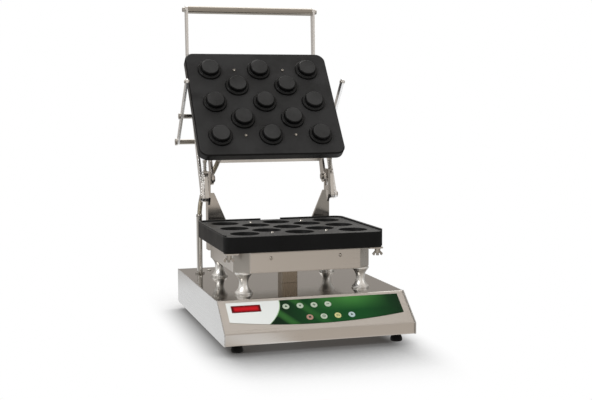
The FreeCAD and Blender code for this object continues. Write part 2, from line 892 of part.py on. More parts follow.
def punch_plate():
    """Cast upper plate with bevelled edges and a punch above each cup."""
    bevel_top = punch_face + punch_edge
    slab = plate_xy(plate_outline(0), plate_corner, bevel_top, upper_casing_bottom)
    low_edge = [Vector(x, y, punch_face) for x, y in plate_outline(punch_edge)]
    high_edge = [Vector(x, y, bevel_top) for x, y in plate_outline(0)]
    face = Part.makeLoft([rounded_loop(low_edge, plate_corner - punch_edge),
                          rounded_loop(high_edge, plate_corner)], True, True)
    return opened(slab.fuse([face] + [punch(x, y) for x, y in cup_places()]).removeSplitter())


def punch_screws():
    heads = [plate_screw(x, y, punch_face, False) for x, y in screw_places()]
    return opened(Part.makeCompound(heads))


def upper_casing():
    """Cover of the upper heater: the lower tray's plan, closed on top, open towards the plate."""
    outer = plate_xy(casing_outline(0), casing_corner, upper_casing_bottom, upper_casing_top)
    inner = plate_xy(casing_outline(casing_sheet), casing_corner - casing_sheet,
                     upper_casing_bottom - over, upper_casing_top - casing_sheet)
    lead_hole = rod_z(hose_entry_x, hose_entry_y, hose_diameter / 2, upper_casing_bottom,
                      upper_casing_top + over)
    return opened(outer.cut([inner, lead_hole]))


def hinge_arm():
    """Right arm of the head: a tapered plate that lies on the casing and reaches the hinge pin."""
    centre = (hinge_y, hinge_z)
    seat = upper_casing_top
    front = (hinge_arm_front, seat + hinge_arm_radius / 2)
    blade = bar_yz(front, centre, hinge_arm_radius / 2, hinge_arm_radius, hinge_arm_inner, hinge_arm_outer)
    foot_end = casing_half_depth - casing_chamfer + casing_half_width - hinge_arm_outer - casing_corner
    foot = box(hinge_arm_outer - hinge_foot_width, hinge_arm_outer,
               hinge_arm_front, foot_end, seat, seat + hinge_arm_thickness)
    below = box(0, base_width, -base_depth, casing_half_depth, seat - base_depth, seat)
    bore = rod_x(centre, hinge_pin_diameter / 2 + running_clearance, 0, base_width)
    return opened(blade.cut(below).fuse(foot).cut(bore).removeSplitter())


def press_brackets():
    """Two upright plates on the middle of the head that hold the press rod."""
    seat = upper_casing_top
    inner = bracket_x - bracket_thickness / 2
    outer = bracket_x + bracket_thickness / 2
    front = press_rod_y - bracket_half_foot
    back = press_rod_y + bracket_half_foot
    rise = press_rod_closed[1]
    web = plate_yz([(front, seat), (back, seat), (press_rod_y + bracket_eye_radius, rise),
                    (press_rod_y - bracket_eye_radius, rise)], 0, inner, outer)
    eye = rod_x(press_rod_closed, bracket_eye_radius, inner, outer)
    foot = box(outer - bracket_foot_width, outer, front, back, seat, seat + bracket_thickness)
    bore = rod_x(press_rod_closed, press_rod_diameter / 2, 0, base_width)
    window = rod_x((press_rod_y, seat + bracket_window_rise), bracket_window_radius, 0, base_width)
    return opened(pair(web.fuse([eye, foot]).cut([bore, window]).removeSplitter()))


def press_rod():
    """Cross rod on the head, ending just short of the links on both sides."""
    end = link_inner - 2 * face_clearance
    return opened(rod_x(press_rod_closed, press_rod_diameter / 2, -end, end))


def hinge_post():
    """Right post: gusset facing the front, slotted cheek for the sliding block, and the tab above it."""
    gusset = plate_xz([
        (gusset_inner, gusset_bottom), (cheek_outer, gusset_bottom), (cheek_outer, gusset_top),
        (gusset_top_inner, gusset_top), (gusset_waist_inner, gusset_waist), (gusset_inner, post_foot_top),
    ], 0, gusset_front, gusset_front + gusset_thickness)
    foot = box(gusset_inner, gusset_inner + post_foot_width, casing_half_depth, gusset_front,
               gusset_bottom, post_foot_top)
    front = hinge_y - cheek_half_depth
    back = hinge_y + cheek_half_depth
    shoulder = gusset_top - lug_radius
    cheek = plate_yz([
        (gusset_front, gusset_bottom), (back, gusset_bottom), (back, tab_top), (front, tab_top),
        (front, shoulder), (gusset_front, shoulder - cheek_half_depth),
    ], 0, cheek_inner, cheek_outer)
    slot = plate_yz(rectangle(hinge_y - slot_width / 2, hinge_y + slot_width / 2,
                              hinge_z - lift_travel - slot_margin, hinge_z + slot_margin),
                    slot_corner, cheek_inner - over, cheek_outer + over)
    tab = box(cheek_inner, block_outer, hinge_y - slot_width / 2, hinge_y + slot_width / 2,
              tab_bottom, tab_top)
    guide = rod_z(guide_x, hinge_y, guide_bolt_diameter / 2 + face_clearance,
                  tab_bottom - over, tab_top + over)
    return gusset.fuse([foot, cheek, tab]).cut([slot, guide]).removeSplitter()


def hinge_block():
    """Right sliding block: boss for the hinge pin, tongue in the slot, lug for the lever pin."""
    centre = (hinge_y, hinge_z)
    lug = bar_yz(centre, lever_pivot, boss_radius, lug_radius, block_inner, block_outer)
    half = slot_width / 2 - slide_clearance
    tongue_half = slot_margin - slide_clearance
    tongue = box(cheek_inner + face_clearance, block_inner, hinge_y - half, hinge_y + half,
                 hinge_z - tongue_half, hinge_z + tongue_half)
    bores = [
        rod_x(centre, hinge_pin_diameter / 2, 0, base_width),
        rod_x(lever_pivot, lever_pin_diameter / 2, 0, base_width),
        rod_z(guide_x, hinge_y, guide_bolt_diameter / 2, boss_top - guide_bolt_sink, boss_top + over),
    ]
    return lug.fuse(tongue).cut(bores).removeSplitter()


def hinge_pins():
    """Pins fixed in the blocks, with a head on the inner face of the hinge arms."""
    centre = (hinge_y, hinge_z)
    head_outer = hinge_arm_inner - face_clearance
    pin = rod_x(centre, hinge_pin_diameter / 2, head_outer, block_outer)
    head = rod_x(centre, pin_head_radius, head_outer - pin_head_height, head_outer)
    return pair(pin.fuse(head).removeSplitter())


def lever_pins():
    """Pins of the lever arms: shoulder, running length and head."""
    shoulder_end = arm_inner - face_clearance
    head_start = arm_outer + face_clearance
    radius = lever_pin_diameter / 2
    pin = rod_x(lever_pivot, radius, block_inner, head_start)
    shoulder = rod_x(lever_pivot, lever_shoulder_diameter / 2, block_outer, shoulder_end)
    head = rod_x(lever_pivot, lever_head_diameter / 2, head_start, head_start + pin_head_height)
    return pair(pin.fuse([shoulder, head]).removeSplitter())


def guide_bolts():
    """Bolts that stand in the blocks, pass the tabs and hold the springs under their heads."""
    top = tab_top + spring_length
    shank = rod_z(guide_x, hinge_y, guide_bolt_diameter / 2, boss_top - guide_bolt_sink, top)
    head = hexagon_z(guide_x, hinge_y, guide_bolt_head * math.sqrt(3) / 2, top, top + guide_bolt_head_height)
    return pair(shank.fuse(head).removeSplitter())


def lift_springs():
    """Coil springs between tab and bolt head that carry the blocks at the top of the slots."""
    rise = spring_length - spring_wire - 2 * face_clearance
    helix = Part.makeHelix(rise / spring_turns, rise, spring_mean_radius)
    start = Vector(spring_mean_radius, 0, 0)
    section = Part.Wire(Part.makeCircle(spring_wire / 2, start, Vector(0, 1, 0)))
    coil = Part.Wire(helix.Edges).makePipeShell([section], True, True)
    coil.translate(Vector(guide_x, hinge_y, tab_top + spring_wire / 2 + face_clearance))
    return pair(coil)


def handle_arm():
    """Right lever arm: flat bar from its pivot along the head, bent upright to the handle."""
    lower = bar_yz(lever_pivot, lever_bend, arm_eye_radius, arm_radius, arm_inner, arm_outer)
    upper = bar_yz(lever_bend, handle_centre, arm_radius, arm_eye_radius, arm_inner, arm_outer)
    bores = [
        rod_x(lever_pivot, lever_pin_diameter / 2 + running_clearance, 0, base_width),
        rod_x(link_pin, link_bolt_diameter / 2, 0, base_width),
        rod_x(handle_centre, handle_bolt_diameter / 2, 0, base_width),
    ]
    return lower.fuse(upper).cut(bores).removeSplitter()


def handle_tube():
    """Grip tube between the two arms, with end plugs for the bolts."""
    radius = handle_diameter / 2
    tube = rod_x(handle_centre, radius, -arm_inner, arm_inner)
    hollow = rod_x(handle_centre, radius - handle_wall, -arm_inner + 2 * handle_diameter,
                   arm_inner - 2 * handle_diameter)
    threads = [rod_x(handle_centre, handle_bolt_diameter / 2, arm_inner - handle_diameter, arm_inner)]
    threads.append(mirrored(threads[0]))
    return tube.cut([hollow] + threads)


def handle_bolts():
    """Bolts that clamp the tube between the arms."""
    shank = rod_x(handle_centre, handle_bolt_diameter / 2, arm_inner - handle_diameter, arm_outer)
    head = Part.makeCone(handle_bolt_head / 2, handle_bolt_tip / 2, handle_bolt_head_height,
                         Vector(arm_outer, *handle_centre), Vector(1, 0, 0))
    return pair(shank.fuse(head).removeSplitter())


def link_bolts():
    """Long bolts in the lever arms that carry the links, with spacer, head and nut."""
    radius = link_bolt_diameter / 2
    head_start = link_outer + face_clearance
    shank = rod_x(link_pin, radius, arm_inner, head_start)
    spacer = rod_x(link_pin, spacer_diameter / 2, arm_outer, link_inner - face_clearance)
    head = rod_x(link_pin, link_bolt_head / 2, head_start, head_start + link_bolt_head_height)
    nut = rod_x(link_pin, link_bolt_head / 2, arm_inner - link_nut_height, arm_inner)
    return pair(shank.fuse([spacer, head, nut]).removeSplitter())


def link_bar():
    """Right link: bar from the press rod past the lever bolt to its free tail."""
    bar = bar_yz(press_rod_open, link_tail_end, link_radius, link_radius, link_inner, link_outer)
    bores = [
        rod_x(link_pin, link_bolt_diameter / 2 + running_clearance, 0, base_width),
        rod_x(press_rod_open, link_bolt_diameter / 2, 0, base_width),
        rod_x(link_tail_end, tail_pin_diameter / 2, 0, base_width),
    ]
    return bar.cut(bores)


def link_end_bolts():
    """Bolts at the press-rod end and stop pins at the tail end of the links."""
    bolt = rod_x(press_rod_open, link_bolt_diameter / 2, link_inner, link_outer)
    cap = rod_x(press_rod_open, end_bolt_head / 2, link_outer, link_outer + link_bolt_head_height)
    tail = rod_x(link_tail_end, tail_pin_diameter / 2,
                 link_inner - tail_pin_proud, link_outer + tail_pin_proud)
    solid = bolt.fuse(cap).removeSplitter()
    return Part.makeCompound([mirrored(solid), solid, mirrored(tail), tail])


def clamp_studs():
    """Studs under the front corners of the mould plate."""
    stud = rod_z(clamp_x, clamp_y, clamp_stud_diameter / 2, mould_bottom - clamp_stud_length, mould_bottom)
    return pair(stud)


def wing_nut():
    """Right wing nut under its ear: tapered hub with two drooping wings."""
    top = mould_bottom - ear_drop - ear_size[2] - face_clearance
    low = top - wing_hub_height
    hub = Part.makeCone(wing_hub_tip / 2, wing_hub_diameter / 2, wing_hub_height,
                        Vector(clamp_x, clamp_y, low))
    half = wing_thickness / 2
    wings = []
    for side in (-1, 1):
        outline = [
            (clamp_x + side * wing_root, top - wing_thickness),
            (clamp_x + side * wing_span, low + (wing_hub_height - wing_drop) / 2),
            (clamp_x + side * (wing_span - wing_tip), low - wing_drop / 2),
            (clamp_x + side * wing_root, low + wing_thickness),
        ]
        wings.append(plate_xz(outline, [0, wing_edge, wing_edge, 0], clamp_y - half, clamp_y + half))
    bore = rod_z(clamp_x, clamp_y, clamp_stud_diameter / 2 + running_clearance, low - wing_drop, top + over)
    return hub.fuse(wings).cut(bore).removeSplitter()


def conduit_tube():
    """Upright stainless tube from the deck, open at its top for the hose."""
    outer = rod_z(conduit_x, conduit_y, conduit_diameter / 2, deck_height - base_sheet, conduit_top)
    bore = rod_z(conduit_x, conduit_y, conduit_diameter / 2 - conduit_wall,
                 deck_height - base_sheet - over, conduit_top + over)
    return outer.cut(bore)


def conduit_nut():
    """Gland nut of the conduit on the deck."""
    top = deck_height + conduit_nut_height
    nut = hexagon_z(conduit_x, conduit_y, conduit_nut_width, deck_height, top)
    return nut.cut(rod_z(conduit_x, conduit_y, conduit_diameter / 2, deck_height - over, top + over))


def hose_route():
    """Corner points of the hose: up out of the tube, back round the hinge and into the head's cover."""
    entry = turned_about_hinge((hose_entry_y, upper_casing_top), -open_angle)
    out = math.radians(open_angle - 90)
    clear = (entry[0] + hose_bow * math.cos(out), entry[1] - hose_bow * math.sin(out))
    base_end = Vector(conduit_x, conduit_y, conduit_top - hose_insert)
    rise = Vector(conduit_x, conduit_y, conduit_top + hose_rise)
    swing = Vector((conduit_x + hose_entry_x) / 2 - hose_swing_out,
                   (conduit_y + clear[0]) / 2 + hose_swing_back, conduit_top + hose_swing_rise)
    before = Vector(hose_entry_x, *clear)
    end = Vector(hose_entry_x, *entry)
    return [base_end, rise, swing, before, end]


def conduit_hose():
    """Flexible hose between the tube and the head, with arcs as large as its runs allow."""
    points = hose_route()
    edges = []
    start = points[0]
    for index in range(1, len(points) - 1):
        corner = points[index]
        before = points[index - 1] - corner
        after = points[index + 1] - corner
        reach = hose_bend_share * min(before.Length, after.Length)
        entry = corner + before.normalize() * reach
        leave = corner + after.normalize() * reach
        half = before.getAngle(after) / 2
        radius = reach * math.tan(half)
        inward = (before + after).normalize() * (radius / math.sin(half) - radius)
        edges.append(Part.LineSegment(start, entry).toShape())
        edges.append(Part.Arc(entry, corner + inward, leave).toShape())
        start = leave
    edges.append(Part.LineSegment(start, points[-1]).toShape())
    first = points[1] - points[0]
    section = Part.Wire(Part.makeCircle(hose_diameter / 2, points[0], first))
    return Part.Wire(edges).makePipeShell([section], True, True)


def all_parts():
    parts = {
        "base_shell": base_shell(),
        "rear_panel": rear_panel(),
        "bottom_plate": bottom_plate(),
        "rubber_feet": rubber_feet(),
        "foot_studs": foot_studs(),
        "control_overlay": control_overlay(),
        "display_window": display_window(),
        "control_board": control_board(),
        "relay_block": relay_block(),
        "cable_gland": cable_gland(),
        "turned_legs": Part.makeCompound([turned_leg(x, y) for x, y in leg_places()]),
        "lower_casing": lower_casing(),
        "front_panel": front_panel(),
        "panel_screws": panel_screws(),
        "lower_heater": heater(mould_bottom - heater_diameter / 2, mould_bottom - terminal_drop),
        "mould_plate": mould_plate(),
        "mould_screws": mould_screws(),
        "wiring_duct": wiring_duct(),
        "conduit_tube": conduit_tube(),
        "conduit_nut": conduit_nut(),
        "clamp_studs": clamp_studs(),
        "hinge_pins": hinge_pins(),
        "lever_pins": lever_pins(),
        "guide_bolts": guide_bolts(),
        "lift_springs": lift_springs(),
        "conduit_hose": conduit_hose(),
        "punch_plate": punch_plate(),
        "punch_screws": punch_screws(),
        "upper_casing": upper_casing(),
        "upper_heater": opened(heater(upper_casing_bottom + heater_diameter / 2,
                                      upper_casing_bottom + terminal_drop)),
        "press_brackets": press_brackets(),
        "press_rod": press_rod(),
        "handle_tube": handle_tube(),
        "handle_bolts": handle_bolts(),
        "link_bolts": link_bolts(),
        "link_end_bolts": link_end_bolts(),
    }
    for number, place in enumerate(key_places(), start=1):
        parts[f"key_{number}"] = key(place)
    handed = {
        "side_panel": side_panel(),
        "hinge_post": hinge_post(),
        "hinge_block": hinge_block(),
        "hinge_arm": hinge_arm(),
        "handle_arm": handle_arm(),
        "link_bar": link_bar(),
        "wing_nut": wing_nut(),
    }
    for name, right in handed.items():
        parts[f"{name}_right"] = right
        parts[f"{name}_left"] = mirrored(right)
    return parts


def centre_shift(parts):
    """Shift along Y that puts the middle of the whole machine over the origin."""
    low = min(shape.BoundBox.YMin for shape in parts.values())
    high = max(shape.BoundBox.YMax for shape in parts.values())
    return -(low + high) / 2


def main():
    os.makedirs("parts", exist_ok=True)
    parts = all_parts()
    shift = centre_shift(parts)
    for name, shape in parts.items():
        shape.translate(Vector(0, shift, 0))
        shape.exportStep(f"parts/{name}.step")
    return parts, shift


if __name__ == "__main__":
    main()
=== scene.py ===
import bpy
import json
import math
import numpy as np
from mathutils import Matrix, Vector


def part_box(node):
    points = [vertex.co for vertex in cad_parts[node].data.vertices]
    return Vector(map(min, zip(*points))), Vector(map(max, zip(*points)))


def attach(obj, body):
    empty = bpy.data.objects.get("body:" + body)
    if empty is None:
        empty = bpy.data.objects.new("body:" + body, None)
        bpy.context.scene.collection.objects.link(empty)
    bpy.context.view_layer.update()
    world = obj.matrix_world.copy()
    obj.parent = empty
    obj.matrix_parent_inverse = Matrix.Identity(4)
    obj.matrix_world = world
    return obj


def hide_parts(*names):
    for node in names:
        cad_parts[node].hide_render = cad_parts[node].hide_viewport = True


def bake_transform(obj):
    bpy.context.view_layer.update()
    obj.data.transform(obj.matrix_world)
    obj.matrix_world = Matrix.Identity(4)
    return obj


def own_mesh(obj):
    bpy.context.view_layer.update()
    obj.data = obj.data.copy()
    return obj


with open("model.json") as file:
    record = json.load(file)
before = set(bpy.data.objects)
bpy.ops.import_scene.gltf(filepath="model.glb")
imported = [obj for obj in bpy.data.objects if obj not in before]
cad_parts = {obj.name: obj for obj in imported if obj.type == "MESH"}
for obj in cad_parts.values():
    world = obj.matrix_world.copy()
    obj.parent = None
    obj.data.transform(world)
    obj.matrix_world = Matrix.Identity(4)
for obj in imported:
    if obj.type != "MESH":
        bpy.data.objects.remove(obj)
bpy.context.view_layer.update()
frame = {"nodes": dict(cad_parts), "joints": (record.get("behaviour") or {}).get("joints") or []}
nodes = frame["nodes"]
joints = {joint["name"]: joint for joint in frame["joints"]}
print("frame loaded:", len(nodes), "nodes")

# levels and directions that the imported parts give; all lengths are in metres
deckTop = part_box("base_shell")[1].z
keyAxis = Vector(joints["key_1_press"]["axis"])  # into the control front
slopeAngle = math.atan2(keyAxis.y, -keyAxis.z)  # slope of the control front above the horizontal
windowLow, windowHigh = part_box("display_window")
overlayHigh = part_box("control_overlay")[1]
slopeTop = Vector((0, overlayHigh.y + (deckTop - overlayHigh.z) / math.tan(slopeAngle), deckTop))


def meshPoints(mesh):
    # a mesh's corners as rows of x, y and z
    points = np.empty(3 * len(mesh.vertices))
    mesh.vertices.foreach_get("co", points)
    return points.reshape(-1, 3)


# camera

cameraView = {
    "place": (-0.6382, -2.2713, 0.4948),
    "yaw": 16.42,    # to the right of straight on, degrees
    "pitch": -5.40,
    "roll": -0.24,
    "lens": 64.73, "sensor": 36,    # mm
    "farthest": 50,
}


def addCamera(view):
    lens = bpy.data.cameras.new("photoCamera")
    lens.lens = view["lens"]
    lens.sensor_width = view["sensor"]
    lens.clip_end = view["farthest"]
    camera = bpy.data.objects.new("photoCamera", lens)
    bpy.context.collection.objects.link(camera)
    yaw, pitch, roll = (math.radians(view[key]) for key in ("yaw", "pitch", "roll"))
    turn = Matrix.Rotation(-yaw, 4, "Z") @ Matrix.Rotation(math.pi / 2 + pitch, 4, "X")
    camera.matrix_world = Matrix.Translation(view["place"]) @ turn @ Matrix.Rotation(roll, 4, "Z")
    bpy.context.scene.camera = camera


addCamera(cameraView)
bpy.context.scene.view_settings.view_transform = "Standard"
print("camera set")


# shader node helpers

white = (1.0, 1.0, 1.0)


def feed(tree, node, inputs):
    # sockets are linked, plain values are set
    for key, value in inputs.items():
        if isinstance(value, bpy.types.NodeSocket):
            tree.links.new(value, node.inputs[key])
        else:
            node.inputs[key].default_value = value


def put(tree, kind, inputs=None, **settings):
    node = tree.nodes.new(kind)
    for key, value in settings.items():
        setattr(node, key, value)
    feed(tree, node, inputs or {})
    return node


def calc(tree, operation, first, second=0.0, clamp=False):
    node = put(tree, "ShaderNodeMath", {0: first, 1: second}, operation=operation, use_clamp=clamp)
    return node.outputs[0]


def product(tree, first, *others):
    for other in others:
        first = calc(tree, "MULTIPLY", first, other)
    return first


def vectorCalc(tree, operation, first, second=(0, 0, 0)):
    # dot products and lengths are values, everything else is a vector
    node = put(tree, "ShaderNodeVectorMath", {0: first, 1: second}, operation=operation)
    return node.outputs["Value" if operation in ("DOT_PRODUCT", "LENGTH") else "Vector"]


def spread(tree, value, low, high, toLow=0.0, toHigh=1.0):
    # value between low and high carried onto toLow to toHigh, held at the ends
    names = {"Value": value, "From Min": low, "From Max": high, "To Min": toLow, "To Max": toHigh}
    return put(tree, "ShaderNodeMapRange", names).outputs[0]


def rgba(colour):
    # three numbers get a full alpha, a socket stays as it is
    return colour + (1,) if isinstance(colour, tuple) else colour


def mixColour(tree, factor, first, second, blend="MIX"):
    values = {0: factor, 6: rgba(first), 7: rgba(second)}
    return put(tree, "ShaderNodeMix", values, data_type="RGBA", blend_type=blend).outputs[2]


def noise(tree, place, scale, detail, rough):
    values = {"Vector": place, "Scale": scale, "Detail": detail, "Roughness": rough}
    return put(tree, "ShaderNodeTexNoise", values).outputs["Fac"]


def bumped(tree, height, strength, depth, **normal):
    values = {"Height": height, "Strength": strength, "Distance": depth, **normal}
    return put(tree, "ShaderNodeBump", values).outputs[0]


def objectPlace(tree):
    return put(tree, "ShaderNodeTexCoord").outputs["Object"]


def axesOf(tree, vector):
    return put(tree, "ShaderNodeSeparateXYZ", {0: vector}).outputs


def onSlope(tree, origin):
    # place on the control front as seen from the origin: x across it, y up it
    values = {"Vector": objectPlace(tree), "Location": tuple(origin), "Rotation": (slopeAngle, 0, 0)}
    return put(tree, "ShaderNodeMapping", values, vector_type="TEXTURE").outputs[0]


def placed(tree, group, inputs):
    return put(tree, "ShaderNodeGroup", inputs, node_tree=group).outputs


def makeGroup(name, inputs, outputs):
    # empty group with its sockets given as {label: "Float" or "Vector"}
    group = bpy.data.node_groups.new(name, "ShaderNodeTree")
    for way, sockets in (("INPUT", inputs), ("OUTPUT", outputs)):
        for label, kind in sockets.items():
            group.interface.new_socket(label, in_out=way, socket_type="NodeSocket" + kind)
    return group, group.nodes.new("NodeGroupInput").outputs, group.nodes.new("NodeGroupOutput")


# brushing: noise drawn out along the grain, with softer smudges of handling over it

brushLook = {"grainDetail": 5.0, "grainRough": 0.62, "smudgeScale": 9.0, "smudgeDetail": 3.0, "smudgeRough": 0.55,
             "streakTone": 0.8, "smudgeTone": 0.6}


def makeBrushing():
    # streaks and smudges are noise less its middle; roughness = base + both, tone = middle + shares of both
    look = brushLook
    middle = 0.5
    group, given, result = makeGroup(
        "brushing",
        {"Vector": "Vector", "Grain": "Vector", "Base Roughness": "Float", "Streak": "Float", "Smudge": "Float"},
        {"Height": "Float", "Roughness": "Float", "Tone": "Float"})
    stretched = vectorCalc(group, "MULTIPLY", given["Vector"], given["Grain"])
    grain = noise(group, stretched, 1.0, look["grainDetail"], look["grainRough"])
    smudge = noise(group, given["Vector"], look["smudgeScale"], look["smudgeDetail"], look["smudgeRough"])
    streaks = product(group, calc(group, "SUBTRACT", grain, middle), given["Streak"])
    smudges = product(group, calc(group, "SUBTRACT", smudge, middle), given["Smudge"])
    rough = calc(group, "ADD", calc(group, "ADD", streaks, smudges), given["Base Roughness"], clamp=True)
    tones = product(group, streaks, look["streakTone"]), product(group, smudges, look["smudgeTone"])
    tone = calc(group, "ADD", calc(group, "ADD", *tones), middle)
    feed(group, result, {"Height": grain, "Roughness": rough, "Tone": tone})
    return group


# rounded look of a sheet's edge, and a mask of where an edge is

edgeLook = {"samples": 6, "flat": 0.995, "sharp": 0.85}  # flat and sharp: how far rounded and true normal agree


def makeSoftEdge():
    group, given, result = makeGroup("softEdge", {"Radius": "Float"}, {"Normal": "Vector", "Edge": "Float"})
    rounded = put(group, "ShaderNodeBevel", {"Radius": given["Radius"]}, samples=edgeLook["samples"]).outputs[0]
    facing = put(group, "ShaderNodeNewGeometry").outputs["Normal"]
    agree = vectorCalc(group, "DOT_PRODUCT", rounded, facing)
    feed(group, result, {"Normal": rounded, "Edge": spread(group, agree, edgeLook["flat"], edgeLook["sharp"])})
    return group


# fine pitting of a cast or moulded skin, and wide patches in its tone

pitLook = {"gritDetail": 3.0, "gritRough": 0.7, "patchScale": 14.0, "patchDetail": 4.0, "patchRough": 0.6}
patchRange = (0.3, 0.7)  # where nearly all of the patch noise lies


def makePitting():
    look = pitLook
    group, given, result = makeGroup(
        "pitting", {"Vector": "Vector", "Scale": "Float"}, {"Height": "Float", "Patches": "Float"})
    grit = noise(group, given["Vector"], given["Scale"], look["gritDetail"], look["gritRough"])
    patches = noise(group, given["Vector"], look["patchScale"], look["patchDetail"], look["patchRough"])
    feed(group, result, {"Height": grit, "Patches": patches})
    return group


brushing = makeBrushing()
softEdge = makeSoftEdge()
pitting = makePitting()


def startMaterial(name):
    material = bpy.data.materials.new(name)
    material.use_nodes = True
    tree = material.node_tree
    return material, tree, tree.nodes["Principled BSDF"]


# stainless sheet and bar: colour, roughness and bump all follow the brushing

steelTones = (0.82, 1.12)  # darkest and lightest tone as shares of the colour
brushDepth = 0.0002

sheetSteel = {"colour": (0.62, 0.59, 0.555), "grain": (5, 420, 420), "rough": 0.30, "streak": 0.16,
              "smudge": 0.08, "bump": 0.10, "edge": 0.0009}
uprightSteel = {**sheetSteel, "grain": (420, 420, 6), "rough": 0.28, "streak": 0.10, "bump": 0.05}
turnedSteel = {**sheetSteel, "colour": (0.74, 0.725, 0.70), "grain": (30, 30, 900), "streak": 0.08,
               "smudge": 0.05, "bump": 0.05}
steelLooks = {
    "sheet": sheetSteel,
    # the side panels get a darker, greyer copy of the sheet steel's colour: painted shade
    "side": {**sheetSteel, "colour": (0.525, 0.527, 0.522), "grain": (420, 5, 420), "rough": 0.26},
    "upright": uprightSteel,
    "duct": {**uprightSteel, "colour": (0.40, 0.345, 0.28)},
    "post": {**uprightSteel, "rough": 0.12, "streak": 0.08, "smudge": 0.06, "bump": 0.04},
    "bar": {**sheetSteel, "colour": (0.92, 0.925, 0.925), "grain": (300, 300, 12), "rough": 0.26, "streak": 0.06,
            "smudge": 0.05, "bump": 0.03, "edge": 0.0007},
    "turned": turnedSteel,
    "leg": {**turnedSteel, "colour": (0.90, 0.89, 0.87), "rough": 0.42},
    "tube": {**turnedSteel, "colour": (0.60, 0.58, 0.55), "rough": 0.10},
    "rod": {**turnedSteel, "colour": (0.40, 0.375, 0.335), "grain": (12, 500, 500)},
    "plated": {**turnedSteel, "colour": (0.42, 0.40, 0.37), "grain": (200, 200, 200), "rough": 0.24,
               "edge": 0.0004},
    "hose": {**sheetSteel, "colour": (0.33, 0.30, 0.235), "grain": (160, 160, 160), "rough": 0.40, "edge": 0.0002},
}


def brushed(tree, place, look):
    return placed(tree, brushing, {"Vector": place, "Grain": look["grain"], "Base Roughness": look["rough"],
                                   "Streak": look["streak"], "Smudge": look["smudge"]})


def steelMaterial(name, look):
    material, tree, shader = startMaterial(name)
    grain = brushed(tree, objectPlace(tree), look)
    edge = placed(tree, softEdge, {"Radius": look["edge"]})
    dark, light = (tuple(min(1, tone * level) for level in look["colour"]) for tone in steelTones)
    feed(tree, shader, {
        "Metallic": 1.0,
        "Base Color": mixColour(tree, grain["Tone"], dark, light),
        "Roughness": grain["Roughness"],
        "Normal": bumped(tree, grain["Height"], look["bump"], brushDepth, Normal=edge["Normal"])})
    return material


# the base sheet: brushed control front, and a smoother deck that mirrors what stands on it; the deck's steel colour
# is a darker copy of the front's, which dims what it mirrors as painted shade

deckLook = {**sheetSteel, "edge": 0.0012, "deckColour": (0.39, 0.37, 0.34), "blendWidth": 0.004,
            "deckRough": 0.30,    # as a share of the front's roughness
            "shade": (0.86, 0.86, 0.86)}


def deckMaterial():
    look = deckLook
    material, tree, shader = startMaterial("deckSheet")
    place = objectPlace(tree)
    onDeck = spread(tree, axesOf(tree, place)["Y"], slopeTop.y, slopeTop.y + look["blendWidth"])
    grain = brushed(tree, place, look)
    edge = placed(tree, softEdge, {"Radius": look["edge"]})
    mirror = product(tree, grain["Roughness"], look["deckRough"])
    colour = mixColour(tree, onDeck, look["colour"], look["deckColour"])
    shade = mixColour(tree, grain["Tone"], look["shade"], white)
    strength = spread(tree, onDeck, 0.0, 1.0, look["bump"], 0.0)
    feed(tree, shader, {
        "Metallic": 1.0,
        "Base Color": mixColour(tree, 1.0, colour, shade, "MULTIPLY"),
        "Roughness": put(tree, "ShaderNodeMix", {0: onDeck, 2: grain["Roughness"], 3: mirror}).outputs[0],
        "Normal": bumped(tree, grain["Height"], strength, brushDepth, Normal=edge["Normal"])})
    return material


# black non-stick coat on cast plates, worn paler on its edges; its flat faces get a paler colour, while the walls
# and cups between them keep the near-black coat as painted shade

pitDepth = 0.0003

punchCoat = {
    "dark": (0.0015, 0.0015, 0.0016), "pale": (0.004, 0.004, 0.0042), "rough": (0.26, 0.48), "gloss": 0.18,
    "grit": 1100.0, "bump": 0.20, "edgeColour": (0.080, 0.079, 0.078), "edgeRadius": 0.0014,
    # depth below the outermost face, and colour, of each flat face; the walls between the faces stay near black as
    # painted shade
    "outward": (0, -0.799, 0.602),
    "paleFacesShadedWalls": [(0.016, (0.030, 0.030, 0.0303)), (0.010, (0.012, 0.012, 0.012)), (0.0, (0.038, 0.038, 0.0378))],
    "paleFacesShadedWallsBlend": (0.0003, 0.0007),
    # patch noise from and to, and what it is carried onto: the share of the pale face colour, and the edge wear
    "faceWear": (0.3, 0.6, 0.6, 1.0), "edgeWear": (0.4, 0.7, 0.15, 0.6),
}
mouldCoat = {
    **punchCoat,
    "dark": (0.005, 0.005, 0.0051), "pale": (0.011, 0.011, 0.0111), "rough": (0.42, 0.55), "gloss": 0.08,
    "outward": (0, 0, 1),
    # the mould's top faces are coloured pale in place of the coat's sheen (painted sheen), and its cups stay near
    # black (painted shade)
    "paleFacesShadedWalls": [(0.0035, (0.065, 0.065, 0.064)), (0.0, (0.065, 0.065, 0.064))],
}


